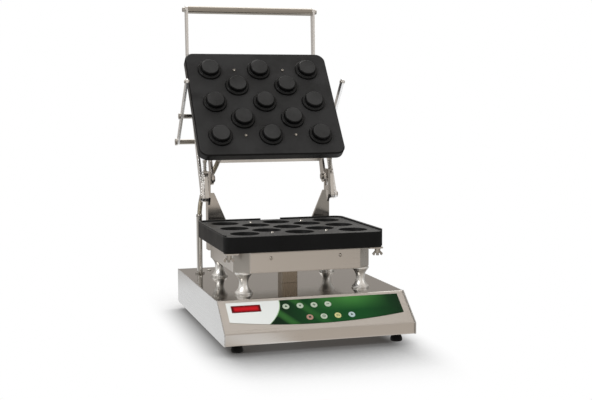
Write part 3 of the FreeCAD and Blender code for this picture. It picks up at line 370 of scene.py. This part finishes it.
def coatMaterial(name, look, node):
    material, tree, shader = startMaterial(name)
    place = objectPlace(tree)
    skin = placed(tree, pitting, {"Vector": place, "Scale": look["grit"]})
    edge = placed(tree, softEdge, {"Radius": look["edgeRadius"]})
    colour = mixColour(tree, skin["Patches"], look["dark"], look["pale"])
    # height along the plate's outward direction tells its flat faces from the walls between them: the faces get
    # their paler colour, and the walls keep the near-black coat as painted shade
    outermost = float((meshPoints(node.data) @ np.array(look["outward"])).max())
    height = vectorCalc(tree, "DOT_PRODUCT", place, look["outward"])
    wear = spread(tree, skin["Patches"], *look["faceWear"])
    for depth, paleFacesShadedWalls in look["paleFacesShadedWalls"]:
        off = calc(tree, "ABSOLUTE", calc(tree, "SUBTRACT", height, outermost - depth))
        onFace = spread(tree, off, *look["paleFacesShadedWallsBlend"], 1.0, 0.0)
        colour = mixColour(tree, product(tree, onFace, wear), colour, paleFacesShadedWalls)
    worn = product(tree, edge["Edge"], spread(tree, skin["Patches"], *look["edgeWear"]))
    feed(tree, shader, {
        "Specular IOR Level": look["gloss"],
        "Base Color": mixColour(tree, worn, colour, look["edgeColour"]),
        "Roughness": spread(tree, skin["Patches"], *patchRange, *look["rough"]),
        "Normal": bumped(tree, skin["Height"], look["bump"], pitDepth, Normal=edge["Normal"])})
    return material


# moulded rubber, nylon, board and keys: one skin with its own colour and shine

mouldedSkin = {"grit": 500.0, "bump": 0.12, "gloss": 0.5, "roughVary": 0.06}
keySkin = {**mouldedSkin, "rough": 0.30, "grit": 900.0, "bump": 0.04}
mouldedLooks = {
    "footRubber": {**mouldedSkin, "dark": (0.002, 0.002, 0.002), "pale": (0.005, 0.005, 0.005), "rough": 0.62,
                   "grit": 700.0, "bump": 0.25, "gloss": 0.12},
    "glandNylon": {**mouldedSkin, "dark": (0.014, 0.014, 0.015), "pale": (0.028, 0.028, 0.030), "rough": 0.45},
    "circuitBoard": {**mouldedSkin, "dark": (0.01, 0.10, 0.04), "pale": (0.02, 0.16, 0.06), "rough": 0.4,
                     "grit": 300.0, "bump": 0.1},
    "relayCase": {**mouldedSkin, "dark": (0.03, 0.03, 0.035), "pale": (0.05, 0.05, 0.055), "rough": 0.5},
    "heaterSheath": {**mouldedSkin, "dark": (0.10, 0.085, 0.07), "pale": (0.19, 0.17, 0.15), "rough": 0.45,
                     "grit": 400.0, "bump": 0.2},
    "keyPale": {**keySkin, "dark": (0.46, 0.55, 0.42), "pale": (0.56, 0.64, 0.52)},
    "keyRed": {**keySkin, "dark": (0.42, 0.23, 0.17), "pale": (0.50, 0.29, 0.22)},
    "keyYellow": {**keySkin, "dark": (0.64, 0.62, 0.24), "pale": (0.72, 0.68, 0.30)},
    "keyBlue": {**keySkin, "dark": (0.44, 0.57, 0.57), "pale": (0.52, 0.65, 0.65)},
    "keyMark": {**keySkin, "dark": (0.010, 0.035, 0.016), "pale": (0.018, 0.050, 0.024), "rough": 0.40},
}


def mouldedMaterial(name, look):
    material, tree, shader = startMaterial(name)
    skin = placed(tree, pitting, {"Vector": objectPlace(tree), "Scale": look["grit"]})
    smoothest, roughest = look["rough"] - look["roughVary"], look["rough"] + look["roughVary"]
    feed(tree, shader, {
        "Specular IOR Level": look["gloss"],
        "Base Color": mixColour(tree, skin["Patches"], look["dark"], look["pale"]),
        "Roughness": spread(tree, skin["Patches"], *patchRange, smoothest, roughest),
        "Normal": bumped(tree, skin["Height"], look["bump"], pitDepth)})
    return material


# printed film on the control front: a pale field with a slanting curved end, then green with soft slanting bands

overlayPrint = {
    "white": (0.87, 0.89, 0.86), "deep": (0.002, 0.018, 0.005), "mid": (0.005, 0.070, 0.014),
    "bright": (0.070, 0.28, 0.055), "keyline": (0.42, 0.60, 0.36),
    # end of the pale field, and the thin line along it
    "fieldEnd": -0.082, "fieldLean": 0.55, "fieldBow": 9.0, "fieldMiddle": -0.040,
    "lineWidth": 0.0016, "blur": 0.0004,
    # where across the film the green turns from deep to mid, and back to deep
    "midFrom": (-0.08, 0.02), "deepFrom": (0.10, 0.19),
    # glow along the top: its rise up the slope, its start and end across the film
    "glowRise": (-0.044, -0.008), "glowStart": (-0.01, 0.07), "glowEnd": (0.09, 0.16), "glowShare": 0.85,
    # wide bands: waves of this lean and rate, seen where the wave is above bandFrom
    "bandLean": 0.9, "bandRate": 95.0, "bandFrom": 0.2, "bandShare": 0.45, "bandEnd": (-0.07, 0.05),
    "rough": (0.30, 0.38), "gloss": 0.10, "grit": 1600.0, "bump": 0.05, "depth": 0.0001,
}


def overlayMaterial():
    look = overlayPrint
    material, tree, shader = startMaterial("overlayPrint")
    local = onSlope(tree, slopeTop)
    axes = axesOf(tree, local)
    across, up = axes["X"], axes["Y"]
    # edge of the pale field: end + lean rise - bow rise^2, with rise from the field's middle
    rise = calc(tree, "SUBTRACT", up, look["fieldMiddle"])
    lean = product(tree, rise, look["fieldLean"])
    bow = product(tree, rise, rise, -look["fieldBow"])
    fieldEdge = calc(tree, "ADD", calc(tree, "ADD", lean, bow), look["fieldEnd"])
    past = calc(tree, "SUBTRACT", across, fieldEdge)
    onGreen = spread(tree, past, 0.0, look["blur"])
    beforeLineEnd = spread(tree, past, look["lineWidth"], look["lineWidth"] + look["blur"], 1.0, 0.0)
    glow = product(tree, spread(tree, up, *look["glowRise"]), spread(tree, across, *look["glowStart"]),
                   spread(tree, across, *look["glowEnd"], look["glowShare"], 0.0))
    # band(x, y) = sin(rate (x + lean y))
    slant = calc(tree, "ADD", across, product(tree, up, look["bandLean"]))
    wave = calc(tree, "SINE", product(tree, slant, look["bandRate"]))
    band = product(tree, spread(tree, wave, look["bandFrom"], 1.0, 0.0, look["bandShare"]),
                   spread(tree, across, *look["bandEnd"], 1.0, 0.0))
    green = mixColour(tree, spread(tree, across, *look["midFrom"]), look["deep"], look["mid"])
    green = mixColour(tree, spread(tree, across, *look["deepFrom"]), green, look["deep"])
    green = mixColour(tree, band, green, look["bright"])
    green = mixColour(tree, glow, green, look["bright"])
    colour = mixColour(tree, onGreen, look["white"], green)
    film = placed(tree, pitting, {"Vector": local, "Scale": look["grit"]})
    feed(tree, shader, {
        "Specular IOR Level": look["gloss"],
        "Base Color": mixColour(tree, product(tree, onGreen, beforeLineEnd), colour, look["keyline"]),
        "Roughness": spread(tree, film["Patches"], *patchRange, *look["rough"]),
        "Normal": bumped(tree, film["Height"], look["bump"], look["depth"])})
    return material


# display filter: deep red with the faint glow of lit rows behind it

displayLook = {"deep": (0.10, 0.001, 0.003), "lit": (0.50, 0.004, 0.010), "glow": 0.25, "margin": 0.0035,
               "heightShare": 0.86,    # of the window's height up the slope; the rest of its box is thickness
               "rowScale": 210.0, "betweenRows": 0.82, "rough": (0.20, 0.26), "gloss": 0.12}


def displayMaterial():
    look = displayLook
    margin = look["margin"]
    material, tree, shader = startMaterial("displayFilter")
    local = onSlope(tree, (windowLow + windowHigh) / 2)
    axes = axesOf(tree, local)
    halfLength = (windowHigh.x - windowLow.x) / 2
    halfHeight = (windowHigh.z - windowLow.z) / 2 / math.sin(slopeAngle) * look["heightShare"]
    inLength, inHeight = (
        spread(tree, calc(tree, "ABSOLUTE", axes[side]), half - 2 * margin, half - end, 1.0, 0.0)
        for side, half, end in (("X", halfLength, margin), ("Y", halfHeight, margin / 2)))
    rows = put(tree, "ShaderNodeTexWave", {"Vector": local, "Scale": look["rowScale"], "Distortion": 0.0},
               bands_direction="Y").outputs["Fac"]
    level = product(tree, inLength, inHeight, spread(tree, rows, 0.0, 1.0, look["betweenRows"], 1.0))
    colour = mixColour(tree, level, look["deep"], look["lit"])
    feed(tree, shader, {
        "Specular IOR Level": look["gloss"], "Emission Strength": look["glow"],
        "Base Color": colour, "Emission Color": colour,
        "Roughness": spread(tree, rows, 0.0, 1.0, *look["rough"])})
    return material


finish = {kind: steelMaterial("steel" + kind.capitalize(), look) for kind, look in steelLooks.items()}
finish.update({kind: mouldedMaterial(kind, look) for kind, look in mouldedLooks.items()})
finish["deck"] = deckMaterial()
finish["mouldCoat"] = coatMaterial("mouldCoat", mouldCoat, nodes["mould_plate"])
finish["punchCoat"] = coatMaterial("punchCoat", punchCoat, nodes["punch_plate"])
finish["overlay"] = overlayMaterial()
finish["display"] = displayMaterial()

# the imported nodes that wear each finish
wearers = {
    "deck": ["base_shell"],
    "sheet": ["rear_panel", "bottom_plate", "lower_casing", "front_panel", "upper_casing"],
    "side": ["side_panel_left", "side_panel_right"],
    "upright": ["hinge_arm_left", "hinge_arm_right", "press_brackets"],
    "duct": ["wiring_duct"],
    "post": ["hinge_post_left", "hinge_post_right"],
    "bar": ["handle_arm_left", "handle_arm_right", "link_bar_left", "link_bar_right"],
    "turned": ["hinge_block_left", "hinge_block_right"],
    "leg": ["turned_legs"],
    "tube": ["conduit_tube"],
    "rod": ["press_rod", "handle_tube"],
    "plated": ["foot_studs", "panel_screws", "mould_screws", "punch_screws", "conduit_nut", "clamp_studs",
               "wing_nut_left", "wing_nut_right", "hinge_pins", "lever_pins", "guide_bolts", "lift_springs",
               "handle_bolts", "link_bolts", "link_end_bolts"],
    "hose": ["conduit_hose"],
    "mouldCoat": ["mould_plate"],
    "punchCoat": ["punch_plate"],
    "footRubber": ["rubber_feet"],
    "glandNylon": ["cable_gland"],
    "circuitBoard": ["control_board"],
    "relayCase": ["relay_block"],
    "heaterSheath": ["lower_heater", "upper_heater"],
    "overlay": ["control_overlay"],
    "display": ["display_window"],
    "keyPale": ["key_1", "key_2", "key_3", "key_4", "key_6"],
    "keyRed": ["key_5"],
    "keyYellow": ["key_7"],
    "keyBlue": ["key_8"],
}
for kind, names in wearers.items():
    for name in names:
        nodes[name].data.materials.clear()
        nodes[name].data.materials.append(finish[kind])
print("finishes on", sum(len(names) for names in wearers.values()), "nodes")


# mesh helpers

def gridFaces(rows, columns, closeRows=False):
    # quads between neighbouring points of a grid whose columns go round; rows too where closeRows
    row = np.arange(rows if closeRows else rows - 1)[:, None]
    column = np.arange(columns)[None, :]
    below, after = (row + 1) % rows, (column + 1) % columns
    corners = [row * columns + column, row * columns + after,
               below * columns + after, below * columns + column]
    return np.stack(np.broadcast_arrays(*corners), axis=-1).reshape(-1, 4)


def skinned(grid, closeRows=False):
    # points and faces of one closed shape: a grid that goes round, with flat ends unless its rows close
    rows, columns = grid.shape[:2]
    faces = gridFaces(rows, columns, closeRows).tolist()
    if not closeRows:
        faces.append(list(range(columns))[::-1])
        faces.append(list(range((rows - 1) * columns, rows * columns)))
    return grid.reshape(-1, 3), faces


def addPiece(name, shapes, material, smooth=True):
    # one mesh at the origin from a list of (points, faces)
    starts = np.cumsum([0] + [len(points) for points, _ in shapes])
    faces = [[corner + int(start) for corner in face]
             for start, (_, shapeFaces) in zip(starts, shapes) for face in shapeFaces]
    mesh = bpy.data.meshes.new(name)
    mesh.from_pydata(np.concatenate([points for points, _ in shapes]).tolist(), [], faces)
    mesh.polygons.foreach_set("use_smooth", np.full(len(mesh.polygons), smooth))
    mesh.materials.append(material)
    piece = bpy.data.objects.new(name, mesh)
    bpy.context.collection.objects.link(piece)
    return piece


def unit(vectors):
    return vectors / np.linalg.norm(vectors, axis=-1, keepdims=True)


def fullTurn(count):
    return np.linspace(0, 2 * math.pi, count, endpoint=False)


def polygonReach(angle, sides):
    # from the middle to the edge of a regular polygon whose corners are 1 away
    step = 2 * math.pi / sides
    return math.cos(step / 2) / np.cos(angle % step - step / 2)


def turned(profile, around, origin, axis=(0, 0, 1)):
    # rows of (radius, height) or (radius, height, share of a hexagon) carried round the axis:
    # r(a) = radius (1 - share + share hexagon(a))
    rows = [(*row, 0)[:3] for row in profile]
    radius, height, share = (np.array(column)[:, None] for column in zip(*rows))
    angle = fullTurn(around)[None, :]
    reach = radius * (1 - share + share * polygonReach(angle, 6))
    sides = np.broadcast_arrays(reach * np.cos(angle), reach * np.sin(angle), height + 0 * angle)
    turn = np.array(Vector((0, 0, 1)).rotation_difference(Vector(axis)).to_matrix())
    return np.stack(sides, axis=-1) @ turn.T + np.array(origin)


def ribbedTube(line, radius, pitch, depth, perRib, around):
    # centre(s) + r(s) (cos a side + sin a rise), with r(s) = radius - depth (1 - cos(2 pi s / pitch)) / 2
    run = np.concatenate([[0], np.cumsum(np.linalg.norm(np.diff(line, axis=0), axis=1))])
    s = np.linspace(0, run[-1], int(run[-1] / pitch * perRib))
    centre = np.stack([np.interp(s, run, line[:, axis]) for axis in range(3)], axis=1)
    ahead = unit(np.gradient(centre, axis=0))
    side = unit(np.cross(ahead, (1, 0, 0)))
    rise = np.cross(ahead, side)
    angle = fullTurn(around)[None, :, None]
    reach = (radius - depth * (1 - np.cos(2 * math.pi * s / pitch)) / 2)[:, None, None]
    return centre[:, None] + reach * (np.cos(angle) * side[:, None] + np.sin(angle) * rise[:, None]), run[-1]


# ribbed metal hose between the conduit and the head, with its ferrule and gland

hoseLook = {
    "route": [(-0.163, 0.13035, 0.210), (-0.163, 0.13035, 0.248), (-0.1435, 0.16515, 0.290),
              (-0.108, 0.17605, 0.3447), (-0.108, 0.12495, 0.3832)],
    "diameter": 0.011, "ribPitch": 0.0024, "ribDepth": 0.0006, "perRib": 6, "around": 28, "perSpan": 64,
    "ferrule": [(0.0070, -0.006), (0.0070, -0.001), (0.0066, 0.0), (0.0059, 0.0), (0.0059, -0.006)],
    "gland": [(0.0084, 0.0004, 1), (0.0084, 0.0050, 1), (0.0078, 0.0056), (0.0076, 0.0085),
              (0.0070, 0.0110), (0.0060, 0.0118), (0.0058, 0.0004)],
    "fittingAround": 48,
}


def splinePoints(route, perSpan):
    # smooth line with the route's points as its control points
    curve = bpy.data.curves.new("hoseLine", "CURVE")
    curve.dimensions = "3D"
    curve.resolution_u = perSpan
    spline = curve.splines.new("NURBS")
    spline.points.add(len(route) - 1)
    spline.points.foreach_set("co", np.c_[np.array(route), np.ones(len(route))].ravel())
    spline.order_u = 3
    spline.use_endpoint_u = True
    holder = bpy.data.objects.new("hoseLine", curve)
    line = bpy.data.meshes.new_from_object(holder)
    points = meshPoints(line)
    bpy.data.objects.remove(holder)
    bpy.data.curves.remove(curve)
    bpy.data.meshes.remove(line)
    return points


def addHose():
    look = hoseLook
    route = look["route"]
    line = splinePoints(route, look["perSpan"])
    grid, length = ribbedTube(line, look["diameter"] / 2, look["ribPitch"], look["ribDepth"], look["perRib"],
                              look["around"])
    hose = addPiece("ribbedHose", [skinned(grid)], finish["hose"])
    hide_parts("conduit_hose")
    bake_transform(hose)
    tubeTop = (route[0][0], route[0][1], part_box("conduit_tube")[1].z)
    ferrule = turned(look["ferrule"], look["fittingAround"], tubeTop)
    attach(addPiece("hoseFerrule", [skinned(ferrule, True)], finish["plated"], False), "base")
    outward = Vector(route[3]) - Vector(route[4])
    gland = turned(look["gland"], look["fittingAround"], route[4], outward.normalized())
    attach(addPiece("hoseGland", [skinned(gland, True)], finish["plated"], False), "head")
    print("hose", round(length, 4), "m long")


addHose()


# rubber feet: a spread tread drawn in to a narrow neck, with a moulding bead at the top

footLook = {
    # radius and height of the outline, from the sole to the top
    "outline": [(0.0070, 0.0), (0.0112, 0.0), (0.0119, 0.0005), (0.0124, 0.0018), (0.0125, 0.0034),
                (0.0123, 0.0052), (0.0118, 0.0072), (0.0110, 0.0092), (0.0101, 0.0109), (0.0092, 0.0122),
                (0.0086, 0.0132), (0.0083, 0.0140), (0.0086, 0.0148), (0.0087, 0.0158), (0.0085, 0.0169),
                (0.0043, 0.0169)],
    "around": 64,
}


def addFeet():
    soles = meshPoints(nodes["rubber_feet"].data)
    fromMiddle = soles[:, 1] - soles[:, 1].mean()
    shapes = []
    for x in (-1, 1):
        for y in (-1, 1):
            foot = soles[(soles[:, 0] * x > 0) & (fromMiddle * y > 0)]
            middle = (foot.min(axis=0) + foot.max(axis=0)) / 2
            shapes.append(skinned(turned(footLook["outline"], footLook["around"], (middle[0], middle[1], 0))))
    feet = addPiece("mouldedFeet", shapes, finish["footRubber"])
    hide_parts("rubber_feet")
    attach(feet, "base")


addFeet()
print("feet added")


# lift springs with closed end turns

coilLook = {"wire": 0.0012, "meanRadius": 0.0041, "turns": 6.5, "perTurn": 40, "around": 12, "gap": 0.0001,
            "boltHead": 0.005, "keep": 0.37}


def addLiftCoils():
    # centre(t) + wire / 2 (cos b outward + sin b up), with the end turns one wire apart
    look = coilLook
    bolts = meshPoints(nodes["guide_bolts"].data)
    right = bolts[bolts[:, 0] > 0]
    middle = (right.min(axis=0) + right.max(axis=0)) / 2
    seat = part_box("hinge_post_right")[1].z
    wire, turns = look["wire"], look["turns"]
    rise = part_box("guide_bolts")[1].z - look["boltHead"] - seat - wire - 2 * look["gap"]
    turn = np.linspace(0, turns, int(turns * look["perTurn"]))
    climb = np.interp(turn, [0, 1, turns - 1, turns], [0, wire, rise - wire, rise])
    height = seat + look["gap"] + wire / 2 + climb
    angle = 2 * math.pi * turn
    outward = np.stack([np.cos(angle), np.sin(angle), 0 * angle], axis=1)
    up = np.array((0, 0, 1))
    line = look["meanRadius"] * outward + height[:, None] * up + np.array((0, middle[1], 0))
    around = fullTurn(look["around"])[None, :, None]
    coil = line[:, None] + wire / 2 * (np.cos(around) * outward[:, None] + np.sin(around) * up)
    shapes = [skinned(coil + np.array((side * middle[0], 0, 0))) for side in (-1, 1)]
    coils = addPiece("liftCoils", shapes, finish["plated"])
    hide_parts("lift_springs")
    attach(coils, "base")
    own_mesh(coils)


addLiftCoils()
print("lift springs added")


# small socket screws that hold the deck to the frame at the rear

deckScrewLook = {
    "places": [(-0.134, 0.1664), (0.134, 0.1664)],
    "head": [(0.0046, -0.0002), (0.0046, 0.0008), (0.0042, 0.0018), (0.0032, 0.0023),
             (0.0024, 0.0024, 1), (0.0022, 0.0010, 1)],
    "around": 48,
}


def addDeckScrews():
    look = deckScrewLook
    screws = [skinned(turned(look["head"], look["around"], (x, y, deckTop))) for x, y in look["places"]]
    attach(addPiece("deckScrews", screws, finish["plated"], False), "base")


addDeckScrews()


# marks on the keys: flat polygons and rings just above the cap

keyMarkLook = {
    "sunk": 0.00004, "proud": 0.00008, "corners": 72,
    # per key: (sides, turn in degrees, half width, half height, share of hole)
    "shapes": [
        [(3, 90, 0.0034, 0.0034, 0)],
        [(3, 270, 0.0034, 0.0034, 0)],
        [(4, 45, 0.0010, 0.0044, 0), (4, 45, 0.0044, 0.0010, 0)],
        [(4, 45, 0.0044, 0.0010, 0)],
        [(4, 45, 0.0036, 0.0036, 0)],
        [(36, 0, 0.0034, 0.0034, 0.72), (4, 45, 0.0008, 0.0026, 0)],
        [(6, 0, 0.0034, 0.0034, 0.62)],
        [(3, 0, 0.0036, 0.0036, 0)],
    ],
}


def capCentre(node, outward, across, up):
    # middle of a node's outermost face along outward
    corners = meshPoints(node.data)
    middles = [(corners @ side).min() / 2 + (corners @ side).max() / 2 for side in (across, up)]
    return middles[0] * across + middles[1] * up + (corners @ outward).max() * outward


def markShape(sides, turn, halfWidth, halfHeight, hole, centre, outward, across, up):
    # edge(a) = polygon(a) (cos, sin) stretched to the half sizes, raised as a thin plate or ring
    angle = fullTurn(keyMarkLook["corners"])
    reach = polygonReach(angle, sides)
    heading = angle + math.radians(turn)
    width, height = reach * np.cos(heading) * halfWidth, reach * np.sin(heading) * halfHeight
    edge = width[:, None] * across + height[:, None] * up
    low, high = centre - keyMarkLook["sunk"] * outward, centre + keyMarkLook["proud"] * outward
    rings = [edge + low, edge + high] + ([hole * edge + high, hole * edge + low] if hole else [])
    return skinned(np.stack(rings), bool(hole))


def addKeyMarks():
    outward = -np.array(keyAxis.normalized())
    across = np.array((1.0, 0.0, 0.0))
    up = np.cross(outward, across)
    for number, shapes in enumerate(keyMarkLook["shapes"], start=1):
        centre = capCentre(nodes[f"key_{number}"], outward, across, up)
        solids = [markShape(*shape, centre, outward, across, up) for shape in shapes]
        mark = addPiece(f"keyMark{number}", solids, finish["keyMark"], False)
        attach(mark, f"key_{number}")


addKeyMarks()
print("screws and key marks added")


# room: plain white to the camera; mirrored in the metal, each side has its own level and the ceiling is warm

roomLook = {
    "diffuseLevel": 0.50,
    "front": (0.60, 0.55, 0.50), "back": (0.44, 0.41, 0.38), "sides": (0.32, 0.31, 0.29), "top": (0.66, 0.61, 0.56),
    # where the heading turns to each of them
    "backFrom": (-0.55, 0.15), "sidesFrom": (0.6, 0.9), "topFrom": (0.45, 0.85),
    # across the line from the object to the camera, for the bright opening that round bars mirror
    "acrossView": (-0.963, 0.271, 0.0), "openingWidth": (0.10, 0.16), "openingAhead": (-0.6, -0.4),
}


def openingMask(tree, place):
    # 1 along the line to the camera, within openingWidth of it as a share of the distance
    heading = vectorCalc(tree, "NORMALIZE", place)
    offset = calc(tree, "ABSOLUTE", vectorCalc(tree, "DOT_PRODUCT", heading, roomLook["acrossView"]))
    return product(tree, spread(tree, offset, *roomLook["openingWidth"], 1.0, 0.0),
                   spread(tree, axesOf(tree, heading)["Y"], *roomLook["openingAhead"], 1.0, 0.0))


def rayMasks(tree):
    # rays that come straight from the camera, and rays that a metal mirrors
    path = put(tree, "ShaderNodeLightPath").outputs
    return calc(tree, "MAXIMUM", path["Is Camera Ray"], path["Is Transmission Ray"]), path["Is Glossy Ray"]


def addWorld():
    look = roomLook
    world = bpy.data.worlds.new("studio")
    bpy.context.scene.world = world
    world.use_nodes = True
    tree = world.node_tree
    tree.nodes.clear()
    heading = put(tree, "ShaderNodeTexCoord").outputs["Generated"]
    axes = axesOf(tree, heading)
    room = mixColour(tree, spread(tree, axes["Y"], *look["backFrom"]), look["front"], look["back"])
    aside = spread(tree, calc(tree, "ABSOLUTE", axes["X"]), *look["sidesFrom"])
    room = mixColour(tree, aside, room, look["sides"])
    room = mixColour(tree, openingMask(tree, heading), room, white)
    room = mixColour(tree, spread(tree, axes["Z"], *look["topFrom"]), room, look["top"])
    lit, mirrored, plain = (
        put(tree, "ShaderNodeBackground", {"Color": rgba(colour), "Strength": strength}).outputs[0]
        for colour, strength in ((white, look["diffuseLevel"]), (room, 1.0), (white, 1.0)))
    straight, glossy = rayMasks(tree)
    unseen = put(tree, "ShaderNodeMixShader", {0: glossy, 1: lit, 2: mirrored}).outputs[0]
    seen = put(tree, "ShaderNodeMixShader", {0: straight, 1: unseen, 2: plain}).outputs[0]
    put(tree, "ShaderNodeOutputWorld", {"Surface": seen})


# floor: white paper that takes the object's shadow

floorLook = {
    "size": 14.0, "colour": (0.90, 0.90, 0.90), "rough": 0.9,
    # darkening close to the object, on the sides away from the back light
    "shade": (0.20, 0.20, 0.20), "shadeReach": 0.36, "shadeDepth": 4.2, "shadeFrom": (0.30, 0.60, 0.74),
    "shadeSamples": 12,
    # middle and half sizes of the ground that takes the whole shadow, and how far out the paper turns plain white
    "shadowMiddle": (-0.015, 0.0, 0.0), "footprint": (0.155, 0.29, 0.0), "fadeOver": (0.105, 0.34, 1.0),
    # mirrored in the metal: level of the paper in front, and where front, back and sides begin
    "front": (0.66, 0.60, 0.54), "frontUntil": (-0.35, -0.15), "backFrom": (0.45, 1.0),
    "leftUntil": (-0.8, -0.4), "leftAhead": (0.0, 0.3), "rightFrom": (0.4, 0.8),
}


def paperColour(tree):
    # shade where nearby forms cover the paper, with cover to the power of shadeDepth
    look = floorLook
    towardsLight = put(tree, "ShaderNodeCombineXYZ", dict(enumerate(look["shadeFrom"]))).outputs[0]
    cover = put(tree, "ShaderNodeAmbientOcclusion", {"Distance": look["shadeReach"], "Normal": towardsLight},
                samples=look["shadeSamples"]).outputs["AO"]
    return mixColour(tree, calc(tree, "POWER", cover, look["shadeDepth"]), look["shade"], look["colour"])


def plainMask(tree, place):
    # 0 on the footprint, rising to 1 at fadeOver outside it: |max(|place - middle| - footprint, 0) / fadeOver|
    look = floorLook
    span = vectorCalc(tree, "ABSOLUTE", vectorCalc(tree, "SUBTRACT", place, look["shadowMiddle"]))
    outside = vectorCalc(tree, "MAXIMUM", vectorCalc(tree, "SUBTRACT", span, look["footprint"]))
    away = vectorCalc(tree, "LENGTH", vectorCalc(tree, "DIVIDE", outside, look["fadeOver"]))
    return put(tree, "ShaderNodeMapRange", {"Value": away}, interpolation_type="SMOOTHSTEP").outputs[0]


def mirroredPaper(tree, place):
    # white beside and just behind the object and dimmer all round
    look = floorLook
    axes = axesOf(tree, place)
    paper = mixColour(tree, spread(tree, axes["Y"], *look["backFrom"]), white, roomLook["back"])
    paper = mixColour(tree, spread(tree, axes["Y"], *look["frontUntil"]), look["front"], paper)
    left = product(tree, spread(tree, axes["X"], *look["leftUntil"], 1.0, 0.0),
                   spread(tree, axes["Y"], *look["leftAhead"], 1.0, 0.0))
    aside = calc(tree, "MAXIMUM", left, spread(tree, axes["X"], *look["rightFrom"]))
    paper = mixColour(tree, aside, paper, roomLook["sides"])
    return mixColour(tree, openingMask(tree, place), paper, white)


def addFloor():
    half = floorLook["size"] / 2
    corners = [(-half, -half, 0), (half, -half, 0), (half, half, 0), (-half, half, 0)]
    mesh = bpy.data.meshes.new("floor")
    mesh.from_pydata(corners, [], [(0, 1, 2, 3)])
    floor = bpy.data.objects.new("floor", mesh)
    bpy.context.collection.objects.link(floor)
    material, tree, shader = startMaterial("floorPaper")
    place = objectPlace(tree)
    feed(tree, shader, {
        "Base Color": paperColour(tree), "Roughness": floorLook["rough"], "Specular IOR Level": 0.0})
    straight, glossy = rayMasks(tree)
    seen = calc(tree, "MAXIMUM", product(tree, straight, plainMask(tree, place)), glossy)
    colour = mixColour(tree, glossy, white, mirroredPaper(tree, place))
    glow = put(tree, "ShaderNodeEmission", {"Color": colour, "Strength": 1.0}).outputs[0]
    mixed = put(tree, "ShaderNodeMixShader", {0: seen, 1: shader.outputs[0], 2: glow}).outputs[0]
    feed(tree, tree.nodes["Material Output"], {"Surface": mixed})
    mesh.materials.append(material)


# soft lamps, all aimed at the middle of the object

lampAim = Vector((0, 0, 0.3))
lampLook = {
    # name: (place, size, power in watts)
    "keyLamp": ((-2.0, -1.3, 2.1), 0.9, 31),
    "backLamp": ((0.2, 1.9, 2.7), 3.3, 62),
    "fillLamp": ((2.2, -1.6, 1.2), 1.4, 8),
    "sideLamp": ((-2.2, 0.3, 0.5), 0.8, 3),
}


def addLamp(name, place, size, power):
    lamp = bpy.data.lights.new(name, "AREA")
    lamp.shape = "SQUARE"
    lamp.size = size
    lamp.energy = power
    holder = bpy.data.objects.new(name, lamp)
    bpy.context.collection.objects.link(holder)
    holder.location = place
    holder.rotation_euler = (lampAim - Vector(place)).to_track_quat("-Z", "Y").to_euler()


addFloor()
addWorld()
for name, (place, size, power) in lampLook.items():
    addLamp(name, place, size, power)
print("floor and light set")
